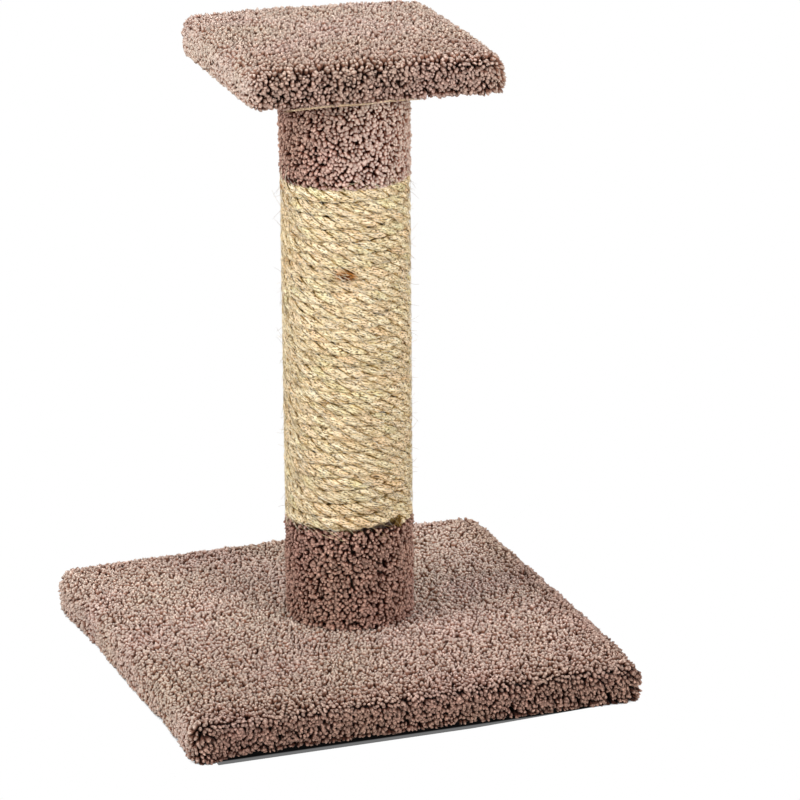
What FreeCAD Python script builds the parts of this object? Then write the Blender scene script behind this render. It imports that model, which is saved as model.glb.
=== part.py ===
import FreeCAD, Part
import math
import os

import Sketcher
from FreeCAD import Placement, Rotation, Vector

# A cat scratching post: a carpeted square base, a card tube wound with sisal rope between two
# carpet collars, and a small carpeted square perch on top.
#
# Frame: millimetres, +Z up, origin on the floor under the middle of the base. The front of the
# base faces -Y. The base is centred on the origin, the post stands a little to the +X side of it,
# and the perch is set on the post slightly off centre and slightly turned, as the object is made.

os.makedirs("parts", exist_ok=True)
doc = FreeCAD.newDocument("ScratchingPost")

# ---------------------------------------------------------------- driving dimensions

SIZES = [
    ("base_board_side", 349.0, "square board inside the base"),
    ("base_board_thick", 15.9, "5/8 in particle board"),
    ("perch_board_side", 183.0, "square board inside the perch"),
    ("perch_board_thick", 12.7, "1/2 in particle board"),
    ("board_corner", 5.0, "radius of the boards' upright corners"),
    ("board_fit", 0.3, "gap between a board's edge and the carpet round it"),
    ("carpet_thick", 10.0, "backing and standing pile, on tops, sides and collars"),
    ("pile_corner", 12.0, "radius of the pile round an upright corner"),
    ("pile_edge", 7.0, "radius of the pile over a top edge"),
    ("hem_edge", 3.0, "radius of the pile under a bottom edge"),
    ("base_hem_thick", 6.4, "hem under the base, its pile pressed by the weight"),
    ("base_hem_width", 38.0, "hem, from the board's edge inwards"),
    ("perch_hem_thick", 7.6, "hem under the perch, its pile not pressed"),
    ("perch_hem_width", 30.0, "hem, from the board's edge inwards"),
    ("mitre_gap", 0.8, "cut between two flaps of hem at a corner"),
    ("pressed_pile", 3.0, "carpet left between the tube's end and the base board"),
    ("post_offset", 8.0, "post axis, in +X from the middle of the base"),
    ("perch_shift_right", -4.0, "middle of the perch, in X from the post axis"),
    ("perch_shift_back", 1.4, "middle of the perch, in Y from the post axis"),
    ("perch_turn", -1.7, "degrees that the perch is turned about Z"),
    ("tube_dia", 82.6, "outer diameter of the card tube, 3 1/4 in"),
    ("tube_wall", 3.2, "wall of the card tube"),
    ("tube_fit", 0.3, "gap between the tube's end and the pile round it"),
    ("plug_thick", 19.0, "wooden plug in each end of the tube"),
    ("plug_fit", 0.2, "gap between a plug and the tube's bore"),
    ("bottom_collar_height", 86.5, "carpet collar under the rope"),
    ("winding_height", 281.5, "rope winding, from collar to collar"),
    ("top_collar_height", 89.2, "carpet collar over the rope"),
    ("collar_fit", 0.2, "gap between a collar and the tube"),
    ("collar_edge", 2.5, "radius of the pile at a collar's two ends"),
    ("seam_gap", 0.8, "butt seam down the back of a collar"),
    ("rope_dia", 9.5, "3/8 in sisal rope"),
    ("rope_spacing", 1.8, "least gap between two turns of the rope"),
    ("rope_fit", 0.3, "gap between the rope and the tube"),
    ("rope_end_gap", 0.8, "gap between the winding's first and last turn and the collars"),
    ("screw_dia", 4.2, "No. 8 wood screw"),
    ("screw_head_dia", 8.2, "countersunk head, 90 degrees"),
    ("screw_point", 4.0, "length of the screw's tapered point"),
    ("base_screw_length", 32.0, "1 1/4 in"),
    ("perch_screw_length", 25.0, "1 in"),
    ("screw_circle", 48.0, "diameter of the circle that the screws stand on"),
    ("nail_dia", 2.0, "nail through the tube into a plug"),
    ("nail_head_dia", 4.6, "flat head, driven flush with the tube"),
    ("nail_head_thick", 0.9, "flat head"),
    ("nail_length", 16.0, "from head to tip"),
    ("nail_point", 2.0, "length of the nail's tapered point"),
    ("nail_count", 4, "nails round each plug"),
    ("staple_crown", 10.6, "overall width of a staple"),
    ("staple_leg", 10.0, "overall length of a staple"),
    ("staple_thick", 0.6, "staple wire, in the plane of the staple"),
    ("staple_wide", 1.3, "staple wire, across the plane of the staple"),
    ("staple_sink", 2.0, "how far a hem staple's crown lies inside the pile"),
    ("hem_staple_edge", 12.0, "row of hem staples, from the hem's inner edge"),
    ("base_staple_count", 5, "staples along one side of the base hem"),
    ("base_staple_spacing", 60.0, "from staple to staple under the base"),
    ("perch_staple_count", 3, "staples along one side of the perch hem"),
    ("perch_staple_spacing", 40.0, "from staple to staple under the perch"),
    ("collar_staple_sink", 2.9, "how far a collar staple's crown lies inside the pile"),
    ("collar_staple_count", 3, "staples down one collar's seam"),
    ("collar_staple_spacing", 26.0, "from staple to staple down a seam"),
    ("rope_staple_bite", 2.6, "how far a rope staple's legs go into the tube wall"),
    ("rope_staple_room", 0.4, "gap between a rope staple and the rope"),
    ("fastener_fit", 0.1, "gap between a screw, nail or staple and its hole"),
]

sheet = doc.addObject("Spreadsheet::Sheet", "Sizes")
for row, (alias, size, meaning) in enumerate(SIZES, start=1):
    sheet.set(f"A{row}", alias)
    sheet.set(f"B{row}", str(size))
    sheet.setAlias(f"B{row}", alias)
    sheet.set(f"C{row}", meaning)
doc.recompute()

# ---------------------------------------------------------------- places worked out from them

BOARD_BOTTOM = "Sizes.base_hem_thick"
BOARD_TOP = f"({BOARD_BOTTOM} + Sizes.base_board_thick)"
BASE_TOP = f"({BOARD_TOP} + Sizes.carpet_thick)"
TUBE_BOTTOM = f"({BOARD_TOP} + Sizes.pressed_pile)"
WINDING_BOTTOM = f"({BASE_TOP} + Sizes.bottom_collar_height)"
WINDING_TOP = f"({WINDING_BOTTOM} + Sizes.winding_height)"
TUBE_TOP = f"({WINDING_TOP} + Sizes.top_collar_height)"
PERCH_BOTTOM = f"({TUBE_TOP} - Sizes.perch_hem_thick)"
PERCH_BOARD_TOP = f"({TUBE_TOP} + Sizes.perch_board_thick)"

TUBE_RADIUS = "(Sizes.tube_dia / 2)"
BORE_RADIUS = f"({TUBE_RADIUS} - Sizes.tube_wall)"
COLLAR_RADIUS = f"({TUBE_RADIUS} + Sizes.collar_fit + Sizes.carpet_thick)"
SCREW_PLACE = "(Sizes.screw_circle / 2 * cos(45))"
PERCH_RIGHT = "(Sizes.post_offset + Sizes.perch_shift_right)"
PERCH_BACK = "Sizes.perch_shift_back"


def value(expression):
    return float(sheet.evalExpression(expression))


# The winding: a right-handed helix about the post axis. Both of its ends lie an eighth of a turn
# beyond the staple that holds them, so it has a whole number of turns and a quarter.
QUARTER = math.pi / 2
END_ANGLE = math.pi / 4
WINDING_RADIUS = f"({TUBE_RADIUS} + Sizes.rope_fit + Sizes.rope_dia / 2)"
ROPE_START = f"({WINDING_BOTTOM} + Sizes.rope_end_gap + Sizes.rope_dia / 2)"
ROPE_RISE = "(Sizes.winding_height - 2 * Sizes.rope_end_gap - Sizes.rope_dia)"
whole_turns = math.floor(value(f"{ROPE_RISE} / (Sizes.rope_dia + Sizes.rope_spacing)") - 0.25)
rope_turns = whole_turns + 0.25
ROPE_PITCH = f"({ROPE_RISE} / {rope_turns})"

# ---------------------------------------------------------------- helpers for the bodies


def new_body(label, x="0", y="0", turn="0"):
    """A body whose own Z axis stands at x, y, turned about Z."""
    body = doc.addObject("PartDesign::Body", label)
    body.Label = label
    body.Placement = Placement(Vector(0, 0, 0), Rotation(Vector(0, 0, 1), 0))
    body.setExpression("Placement.Base.x", x)
    body.setExpression("Placement.Base.y", y)
    body.setExpression("Placement.Rotation.Angle", turn)
    return body


def post_body(label):
    return new_body(label, x="Sizes.post_offset")


def perch_body(label):
    return new_body(label, x=PERCH_RIGHT, y=PERCH_BACK, turn="Sizes.perch_turn")


def origin_part(body, role):
    return next(part for part in body.Origin.OriginFeatures if part.Role == role)


def new_sketch(body, name, role="XY_Plane", x="0", y="0", out="0", turn="0"):
    """A sketch on one of the body's own planes, moved by x and y in it and by out from it."""
    sketch = body.newObject("Sketcher::SketchObject", f"{body.Label}_{name}")
    sketch.AttachmentSupport = [(origin_part(body, role), "")]
    sketch.MapMode = "FlatFace"
    sketch.AttachmentOffset = Placement(Vector(0, 0, 0), Rotation(Vector(0, 0, 1), 0))
    sketch.setExpression("AttachmentOffset.Base.x", x)
    sketch.setExpression("AttachmentOffset.Base.y", y)
    sketch.setExpression("AttachmentOffset.Base.z", out)
    sketch.setExpression("AttachmentOffset.Rotation.Angle", turn)
    return sketch


def tie(sketch, constraint, expression):
    index = sketch.addConstraint(constraint)
    sketch.setExpression(f"Constraints[{index}]", expression)


def polygon(sketch, corners):
    """A closed outline; each corner is a pair of expressions."""
    points = [Vector(value(x), value(y), 0) for x, y in corners]
    count = len(points)
    first = sketch.GeometryCount
    for i in range(count):
        sketch.addGeometry(Part.LineSegment(points[i], points[(i + 1) % count]))
    for i in range(count):
        following = first + (i + 1) % count
        sketch.addConstraint(Sketcher.Constraint("Coincident", first + i, 2, following, 1))
    for i, (x, y) in enumerate(corners):
        tie(sketch, Sketcher.Constraint("DistanceX", -1, 1, first + i, 1, points[i].x), x)
        tie(sketch, Sketcher.Constraint("DistanceY", -1, 1, first + i, 1, points[i].y), y)


def rectangle(sketch, left, right, low, high):
    polygon(sketch, [(left, low), (right, low), (right, high), (left, high)])


def square(sketch, side):
    rectangle(sketch, f"-{side} / 2", f"{side} / 2", f"-{side} / 2", f"{side} / 2")


def circle(sketch, x, y, radius):
    centre = Vector(value(x), value(y), 0)
    index = sketch.addGeometry(Part.Circle(centre, Vector(0, 0, 1), value(radius)))
    tie(sketch, Sketcher.Constraint("DistanceX", -1, 1, index, 3, centre.x), x)
    tie(sketch, Sketcher.Constraint("DistanceY", -1, 1, index, 3, centre.y), y)
    tie(sketch, Sketcher.Constraint("Radius", index, value(radius)), radius)


def extrude(kind, sketch, length, upwards=True, symmetric=False):
    """A Pad or Pocket along the sketch's normal, against it, or half to each side."""
    body = sketch.getParentGeoFeatureGroup()
    feature = body.newObject(f"PartDesign::{kind}", f"{sketch.Name}_{kind}")
    feature.Profile = sketch
    feature.setExpression("Length", length)
    feature.Reversed = upwards == (kind == "Pocket")
    if symmetric:
        feature.SideType = "Symmetric"
    sketch.Visibility = False
    return feature


def turned(kind, sketch, axis):
    """A Revolution or Groove once round one of the sketch's own axes."""
    body = sketch.getParentGeoFeatureGroup()
    feature = body.newObject(f"PartDesign::{kind}", f"{sketch.Name}_{kind}")
    feature.Profile = sketch
    feature.ReferenceAxis = (sketch, [axis])
    feature.Angle = 360
    sketch.Visibility = False
    return feature


def polar(feature, count):
    body = feature.getParentGeoFeatureGroup()
    pattern = body.newObject("PartDesign::PolarPattern", f"{feature.Name}_round")
    pattern.Originals = [feature]
    pattern.Axis = (origin_part(body, "Z_Axis"), [""])
    pattern.Angle = 360
    pattern.setExpression("Occurrences", count)
    body.Tip = pattern
    return pattern


def linear(feature, role, count, spacing):
    body = feature.getParentGeoFeatureGroup()
    pattern = body.newObject("PartDesign::LinearPattern", f"{feature.Name}_row")
    pattern.Originals = [feature]
    pattern.Direction = (origin_part(body, role), [""])
    pattern.setExpression("Length", f"{spacing} * ({count} - 1)")
    pattern.setExpression("Occurrences", count)
    body.Tip = pattern
    return pattern


def four_rows(feature, count, spacing):
    """A row along X, repeated on the four sides of a square."""
    body = feature.getParentGeoFeatureGroup()
    both = body.newObject("PartDesign::MultiTransform", f"{feature.Name}_rows")
    both.Originals = [feature]
    row = body.newObject("PartDesign::LinearPattern", f"{feature.Name}_row")
    row.Direction = (origin_part(body, "X_Axis"), [""])
    row.setExpression("Length", f"{spacing} * ({count} - 1)")
    row.setExpression("Occurrences", count)
    sides = body.newObject("PartDesign::PolarPattern", f"{feature.Name}_sides")
    sides.Axis = (origin_part(body, "Z_Axis"), [""])
    sides.Angle = 360
    sides.Occurrences = 4
    both.Transformations = [row, sides]
    body.Tip = both
    return both


def dress(kind, feature, size_name, size, wanted):
    """A Fillet or Chamfer on the edges of a feature that wanted() picks."""
    doc.recompute()
    body = feature.getParentGeoFeatureGroup()
    edges = [f"Edge{i}" for i, edge in enumerate(feature.Shape.Edges, start=1) if wanted(edge)]
    dressed = body.newObject(f"PartDesign::{kind}", f"{feature.Name}_{kind}")
    dressed.Base = (feature, edges)
    dressed.setExpression(size_name, size)
    return dressed


def is_upright(edge):
    """A straight edge parallel to Z."""
    direction = edge.tangentAt(edge.FirstParameter)
    return isinstance(edge.Curve, Part.Line) and abs(direction.z) > 0.999


def lies_at(height):
    """A test for edges that lie flat at a height."""
    level = value(height)
    return lambda edge: edge.BoundBox.ZLength < 1e-6 and abs(edge.BoundBox.ZMin - level) < 1e-6


# ---------------------------------------------------------------- fasteners and their holes


def screw_outline(sketch, length):
    """Half of a countersunk screw: head at the sketch's origin, point up its vertical axis."""
    head = "Sizes.screw_head_dia / 2"
    shank = "Sizes.screw_dia / 2"
    polygon(sketch, [
        ("0", "0"),
        (head, "0"),
        (shank, f"{head} - {shank}"),
        (shank, f"{length} - Sizes.screw_point"),
        ("0", length),
    ])


def make_screws(label, length, head_height, point_up):
    """Four screws round the post axis."""
    body = post_body(label)
    turn = "0" if point_up else "180"
    sketch = new_sketch(body, "outline", "XZ_Plane", x=SCREW_PLACE, y=head_height,
                        out=SCREW_PLACE, turn=turn)
    screw_outline(sketch, length)
    polar(turned("Revolution", sketch, "V_Axis"), "4")


def screw_holes(sketch):
    """Four round holes about the sketch's origin, on the screws' circle."""
    radius = "Sizes.screw_dia / 2 + Sizes.fastener_fit"
    for along in ("", "-"):
        for across in ("", "-"):
            circle(sketch, f"{along}{SCREW_PLACE}", f"{across}{SCREW_PLACE}", radius)


def countersink(feature, height):
    """Chamfers the screw holes where they meet the face at a height."""
    at_face = lies_at(height)
    reach = value("Sizes.screw_dia")

    def wanted(edge):
        return at_face(edge) and isinstance(edge.Curve, Part.Circle) and edge.Curve.Radius < reach

    size = "(Sizes.screw_head_dia - Sizes.screw_dia) / 2"
    return dress("Chamfer", feature, "Size", size, wanted)


def nail_outline(sketch, fit):
    """Half of a nail that points at the post axis, or of its hole, which is wider by fit."""
    head = f"Sizes.nail_head_dia / 2 + {fit}"
    shank = f"Sizes.nail_dia / 2 + {fit}"
    outside = f"{TUBE_RADIUS} + 2 * {fit}"
    under_head = f"{TUBE_RADIUS} - Sizes.nail_head_thick - {fit}"
    tip = f"{TUBE_RADIUS} - Sizes.nail_length - {fit}"
    polygon(sketch, [
        (outside, "0"),
        (outside, head),
        (under_head, head),
        (under_head, shank),
        (f"{tip} + Sizes.nail_point", shank),
        (tip, "0"),
    ])


def nail_ring(body, name, kind, height, fit):
    """The nails round a plug, or the holes that they make."""
    sketch = new_sketch(body, name, "XZ_Plane", y=height)
    nail_outline(sketch, fit)
    return polar(turned(kind, sketch, "H_Axis"), "Sizes.nail_count")


def staple_outline(sketch, width, leg, fit, slot="0"):
    """
    A staple seen flat, or its hole, wider by fit: crown along the sketch's X, legs up its Y, the
    crown's outer face at Y 0. In a pile, slot is how far the hole goes on past the crown.
    """
    outer = f"{width} / 2 + {fit}"
    inner = f"{width} / 2 - Sizes.staple_thick - {fit}"
    back = f"-{fit} - {slot}"
    crown = f"Sizes.staple_thick + {fit}"
    tip = f"{leg} + {fit}"
    polygon(sketch, [
        (f"-({outer})", back),
        (outer, back),
        (outer, tip),
        (inner, tip),
        (inner, crown),
        (f"-({inner})", crown),
        (f"-({inner})", tip),
        (f"-({outer})", tip),
    ])


def staple_cut(sketch):
    return extrude("Pocket", sketch, "Sizes.staple_wide + 2 * Sizes.fastener_fit", symmetric=True)


def staple_wire(sketch):
    return extrude("Pad", sketch, "Sizes.staple_wide", symmetric=True)


def hem_staple_sketch(body, name, hem, fit, slot="0"):
    """The first staple of the hem's front row; hem is a hem's side, bottom and row."""
    start = f"-{hem['spacing']} * ({hem['count']} - 1) / 2"
    row = f"{hem['side']} / 2 - {hem['width']} + Sizes.hem_staple_edge"
    height = f"{hem['bottom']} + Sizes.staple_sink"
    sketch = new_sketch(body, name, "XZ_Plane", x=start, y=height, out=row)
    staple_outline(sketch, "Sizes.staple_crown", "Sizes.staple_leg", fit, slot)
    return sketch


BASE_HEM = {
    "side": "Sizes.base_board_side",
    "board": "Sizes.base_board_thick",
    "bottom": "0",
    "width": "Sizes.base_hem_width",
    "thick": "Sizes.base_hem_thick",
    "count": "Sizes.base_staple_count",
    "spacing": "Sizes.base_staple_spacing",
}
PERCH_HEM = {
    "side": "Sizes.perch_board_side",
    "board": "Sizes.perch_board_thick",
    "bottom": PERCH_BOTTOM,
    "width": "Sizes.perch_hem_width",
    "thick": "Sizes.perch_hem_thick",
    "count": "Sizes.perch_staple_count",
    "spacing": "Sizes.perch_staple_spacing",
}


def make_hem_staples(body, hem):
    sketch = hem_staple_sketch(body, "staple", hem, "0")
    four_rows(staple_wire(sketch), hem["count"], hem["spacing"])


# ---------------------------------------------------------------- boards and their carpets


def make_board(body, hem, head_height, post_x, post_y, post_turn):
    """A square board with the screws' countersunk holes and the staples' leg holes."""
    bottom = f"({hem['bottom']} + {hem['thick']})"
    outline = new_sketch(body, "outline", out=bottom)
    square(outline, hem["side"])
    dress("Fillet", extrude("Pad", outline, hem["board"]), "Radius", "Sizes.board_corner", is_upright)
    holes = new_sketch(body, "holes", x=post_x, y=post_y, out=bottom, turn=post_turn)
    screw_holes(holes)
    countersink(extrude("Pocket", holes, hem["board"]), head_height)
    legs = hem_staple_sketch(body, "legs", hem, "Sizes.fastener_fit")
    four_rows(staple_cut(legs), hem["count"], hem["spacing"])


def mitre_sketch(body, hem):
    """The cut between two flaps of hem, from the hem's inner corner to the board's corner."""
    sketch = new_sketch(body, "mitre", out=hem["bottom"])
    inner = f"({hem['side']} / 2 - {hem['width']})"
    outer = f"({hem['side']} / 2)"
    half = "Sizes.mitre_gap / 2 * cos(45)"
    polygon(sketch, [
        (f"{inner} - 2 * {half}", f"{inner}"),
        (f"{inner}", f"{inner} - 2 * {half}"),
        (f"{outer} + {half}", f"{outer} - {half}"),
        (f"{outer} - {half}", f"{outer} + {half}"),
    ])
    return sketch


def make_carpet(body, hem):
    """Carpet over a board's top and sides and a hem's width under it."""
    side = f"({hem['side']} + 2 * Sizes.board_fit + 2 * Sizes.carpet_thick)"
    top = f"({hem['bottom']} + {hem['thick']} + {hem['board']} + Sizes.carpet_thick)"
    outline = new_sketch(body, "outline", out=hem["bottom"])
    square(outline, side)
    block = extrude("Pad", outline, f"{top} - {hem['bottom']}")
    block = dress("Fillet", block, "Radius", "Sizes.pile_corner", is_upright)
    block = dress("Fillet", block, "Radius", "Sizes.pile_edge", lies_at(top))
    dress("Fillet", block, "Radius", "Sizes.hem_edge", lies_at(hem["bottom"]))

    room = new_sketch(body, "room", out=f"{hem['bottom']} + {hem['thick']}")
    square(room, f"({hem['side']} + 2 * Sizes.board_fit)")
    extrude("Pocket", room, hem["board"])
    opening = new_sketch(body, "opening", out=hem["bottom"])
    square(opening, f"({hem['side']} - 2 * {hem['width']})")
    extrude("Pocket", opening, hem["thick"])
    polar(extrude("Pocket", mitre_sketch(body, hem), hem["thick"]), "4")
    slots = hem_staple_sketch(body, "slots", hem, "Sizes.fastener_fit", "Sizes.staple_sink")
    four_rows(staple_cut(slots), hem["count"], hem["spacing"])
    return body


def make_base_board():
    make_board(new_body("base_board"), BASE_HEM, BOARD_BOTTOM, "Sizes.post_offset", "0", "0")


def make_base_carpet():
    """The base's carpet, with the dent that the tube's end presses and the screws' holes."""
    body = make_carpet(new_body("base_carpet"), BASE_HEM)
    dent = new_sketch(body, "dent", x="Sizes.post_offset", out=TUBE_BOTTOM)
    circle(dent, "0", "0", f"{TUBE_RADIUS} + Sizes.tube_fit")
    extrude("Pocket", dent, f"{BASE_TOP} - {TUBE_BOTTOM}")
    holes = new_sketch(body, "holes", x="Sizes.post_offset", out=BOARD_TOP)
    screw_holes(holes)
    extrude("Pocket", holes, "Sizes.pressed_pile")


def make_perch_board():
    """The post axis lies off the middle of this board, and the board is turned on it."""
    right = "Sizes.perch_shift_right"
    back = "Sizes.perch_shift_back"
    turn = "Sizes.perch_turn"
    post_x = f"-{right} * cos({turn}) - {back} * sin({turn})"
    post_y = f"{right} * sin({turn}) - {back} * cos({turn})"
    make_board(perch_body("perch_board"), PERCH_HEM, PERCH_BOARD_TOP, post_x, post_y, f"-{turn}")


def make_perch_carpet():
    make_carpet(perch_body("perch_carpet"), PERCH_HEM)


# ---------------------------------------------------------------- the post

BOTTOM_PLUG_MIDDLE = f"({TUBE_BOTTOM} + Sizes.plug_thick / 2)"
TOP_PLUG_MIDDLE = f"({TUBE_TOP} - Sizes.plug_thick / 2)"
ROPE_STAPLE_LIFT = f"({ROPE_PITCH} / 8)"
LOW_ROPE_STAPLE = f"({ROPE_START} + {ROPE_STAPLE_LIFT})"
HIGH_ROPE_STAPLE = f"({ROPE_START} + {ROPE_RISE} - {ROPE_STAPLE_LIFT})"


def collar_staple_sketch(body, name, low, tall, fit, slot="0"):
    """The lowest staple of a collar's seam, at the back of the post, its legs towards the axis."""
    crown = f"{COLLAR_RADIUS} - Sizes.collar_staple_sink"
    row = f"Sizes.collar_staple_spacing * (Sizes.collar_staple_count - 1)"
    height = f"{low} + ({tall} - {row}) / 2"
    sketch = new_sketch(body, name, y=crown, out=height, turn="180")
    staple_outline(sketch, "Sizes.staple_crown", "Sizes.staple_leg", fit, slot)
    return sketch


def seam_row(feature):
    return linear(feature, "Z_Axis", "Sizes.collar_staple_count", "Sizes.collar_staple_spacing")


def rope_staple_sketch(body, name, height, fit):
    """A staple over the rope, on the post's +X side, its legs towards the axis."""
    reach = "Sizes.rope_fit + Sizes.rope_dia + Sizes.rope_staple_room + Sizes.staple_thick"
    width = "(Sizes.rope_dia + 2 * Sizes.rope_staple_room + 2 * Sizes.staple_thick)"
    leg = f"({reach} + Sizes.rope_staple_bite)"
    sketch = new_sketch(body, name, "XZ_Plane", x=f"{TUBE_RADIUS} + {reach}", y=height, turn="90")
    staple_outline(sketch, width, leg, fit)
    return sketch


def make_post_tube():
    """The card tube, with the holes of the nails and staples in its wall."""
    body = post_body("post_tube")
    ring = new_sketch(body, "ring", out=TUBE_BOTTOM)
    circle(ring, "0", "0", TUBE_RADIUS)
    circle(ring, "0", "0", BORE_RADIUS)
    extrude("Pad", ring, f"{TUBE_TOP} - {TUBE_BOTTOM}")
    nail_ring(body, "low_nails", "Groove", BOTTOM_PLUG_MIDDLE, "Sizes.fastener_fit")
    nail_ring(body, "high_nails", "Groove", TOP_PLUG_MIDDLE, "Sizes.fastener_fit")
    fit = "Sizes.fastener_fit"
    low = collar_staple_sketch(body, "low_legs", BASE_TOP, "Sizes.bottom_collar_height", fit)
    seam_row(staple_cut(low))
    high = collar_staple_sketch(body, "high_legs", WINDING_TOP, "Sizes.top_collar_height", fit)
    seam_row(staple_cut(high))
    staple_cut(rope_staple_sketch(body, "low_rope_legs", LOW_ROPE_STAPLE, fit))
    staple_cut(rope_staple_sketch(body, "high_rope_legs", HIGH_ROPE_STAPLE, fit))


def make_plug(label, bottom, middle, screws_from, screw_depth):
    """A wooden disc in the tube's end, with the screws' and nails' holes."""
    body = post_body(label)
    disc = new_sketch(body, "disc", out=bottom)
    circle(disc, "0", "0", f"{BORE_RADIUS} - Sizes.plug_fit")
    extrude("Pad", disc, "Sizes.plug_thick")
    holes = new_sketch(body, "screws", out=screws_from)
    screw_holes(holes)
    extrude("Pocket", holes, screw_depth)
    nail_ring(body, "pilots", "Groove", middle, "Sizes.fastener_fit")


def make_plugs():
    """The base screws come up through board and pressed pile, the perch screws down."""
    fit = "Sizes.fastener_fit"
    up = f"(Sizes.base_screw_length - Sizes.base_board_thick - Sizes.pressed_pile + {fit})"
    down = f"(Sizes.perch_screw_length - Sizes.perch_board_thick + {fit})"
    make_plug("bottom_plug", TUBE_BOTTOM, BOTTOM_PLUG_MIDDLE, TUBE_BOTTOM, up)
    top_bottom = f"({TUBE_TOP} - Sizes.plug_thick)"
    make_plug("top_plug", top_bottom, TOP_PLUG_MIDDLE, f"{TUBE_TOP} - {down}", down)


def make_plug_nails(label, middle):
    nail_ring(post_body(label), "nail", "Revolution", middle, "0")


def make_collar(label, low, tall):
    """A band of carpet round the tube, its two ends butted and stapled at the back."""
    body = post_body(label)
    ring = new_sketch(body, "ring", out=low)
    circle(ring, "0", "0", COLLAR_RADIUS)
    circle(ring, "0", "0", f"{TUBE_RADIUS} + Sizes.collar_fit")
    band = extrude("Pad", ring, tall)
    bottom_rim = lies_at(low)
    top_rim = lies_at(f"{low} + {tall}")
    bore = value(f"{TUBE_RADIUS} + Sizes.collar_fit")

    def outer_rim(edge):
        return (bottom_rim(edge) or top_rim(edge)) and edge.Curve.Radius > bore + 1e-6

    dress("Fillet", band, "Radius", "Sizes.collar_edge", outer_rim)
    seam = new_sketch(body, "seam", out=low)
    rectangle(seam, "-Sizes.seam_gap / 2", "Sizes.seam_gap / 2", "0", f"{COLLAR_RADIUS} + 1")
    extrude("Pocket", seam, tall)
    fit = "Sizes.fastener_fit"
    slots = collar_staple_sketch(body, "slots", low, tall, fit, "Sizes.collar_staple_sink")
    seam_row(staple_cut(slots))


def make_collar_staples(label, low, tall):
    body = post_body(label)
    seam_row(staple_wire(collar_staple_sketch(body, "staple", low, tall, "0")))


def make_rope_staples():
    body = post_body("rope_staples")
    staple_wire(rope_staple_sketch(body, "low", LOW_ROPE_STAPLE, "0"))
    staple_wire(rope_staple_sketch(body, "high", HIGH_ROPE_STAPLE, "0"))


# ---------------------------------------------------------------- the rope


def helix_point(angle, radius, start, pitch):
    """A point of the winding's centre line, and the direction of the line there."""
    rise = pitch / (2 * math.pi)
    point = Vector(radius * math.cos(angle), radius * math.sin(angle), start + rise * angle)
    along = Vector(-radius * math.sin(angle), radius * math.cos(angle), rise)
    return point, along.normalize()


def tangent_arc(start, corner, end):
    """The arc from start to end whose tangents there meet at corner, equally far from both."""
    middle = (start + end) * 0.5
    half_chord = (end - start).Length / 2
    height = (corner - middle).Length
    slope = math.atan2(height, half_chord)
    crown = middle + (corner - middle) * (half_chord * math.tan(slope / 2) / height)
    return Part.Arc(start, crown, end).toShape()


def biarc(start, along_start, end, along_end):
    """Two arcs that join two points and leave them in the given directions."""
    across = end - start
    both = along_start + along_end
    bend = 2 * (1 - along_start.dot(along_end))
    swing = across.dot(both)
    reach = (math.sqrt(swing * swing + bend * across.dot(across)) - swing) / bend
    first_corner = start + along_start * reach
    second_corner = end - along_end * reach
    joint = (first_corner + second_corner) * 0.5
    return [tangent_arc(start, first_corner, joint), tangent_arc(joint, second_corner, end)]


def rope_line():
    """The rope's centre line: the winding's quarter turns, and a straight bit at each end."""
    radius = value(WINDING_RADIUS)
    pitch = value(ROPE_PITCH)
    straight = value("Sizes.rope_dia")
    first = -END_ANGLE
    start = value(ROPE_START) + pitch / 8
    quarters = round(4 * rope_turns)
    stations = [helix_point(first + QUARTER * i, radius, start, pitch) for i in range(quarters + 1)]
    (low, low_along), (high, high_along) = stations[0], stations[-1]
    edges = [Part.LineSegment(low - low_along * straight, low).toShape()]
    for (here, along_here), (there, along_there) in zip(stations, stations[1:]):
        edges += biarc(here, along_here, there, along_there)
    edges.append(Part.LineSegment(high, high + high_along * straight).toShape())
    return edges, low_along


def measure_rope(edges):
    """Prints the rope's length and its least gaps to itself and to the tube, on points."""
    per_edge = 12
    points = []
    for edge in edges:
        step = (edge.LastParameter - edge.FirstParameter) / per_edge
        points += [edge.valueAt(edge.FirstParameter + step * i) for i in range(per_edge)]
    # A quarter turn is two edges, so a turn is eight of them.
    turn = 8 * per_edge
    apart = min(
        (points[i] - points[j]).Length
        for i in range(len(points))
        for j in range(i + turn // 2, min(i + turn * 3 // 2, len(points)))
    )
    inmost = min(math.hypot(point.x, point.y) for point in points)
    length = sum(edge.Length for edge in edges)
    radius = value("Sizes.rope_dia") / 2
    print(f"rope: {rope_turns} turns, {length:.0f} mm long")
    print(f"rope's least gap to itself: {apart - 2 * radius:.2f} mm")
    print(f"rope's least gap to the tube: {inmost - radius - value(TUBE_RADIUS):.2f} mm")
    return length


def make_rope():
    """One unbroken rope; neighbouring turns stand a little apart."""
    edges, along = rope_line()
    length = measure_rope(edges)
    tip = edges[0].valueAt(edges[0].FirstParameter)
    section = Part.Circle(tip, along, value("Sizes.rope_dia") / 2)
    path = Part.Wire(edges)
    rope = doc.addObject("Part::Feature", "sisal_rope")
    rope.Label = "sisal_rope"
    rope.Shape = path.makePipeShell([Part.Wire(section.toShape())], True, False)
    rope.Placement = Placement(Vector(value("Sizes.post_offset"), 0, 0), Rotation())
    expected = math.pi * value("Sizes.rope_dia") ** 2 / 4 * length
    print(f"rope volume over section times length: {rope.Shape.Volume / expected:.4f}")


# ---------------------------------------------------------------- making and writing

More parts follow.
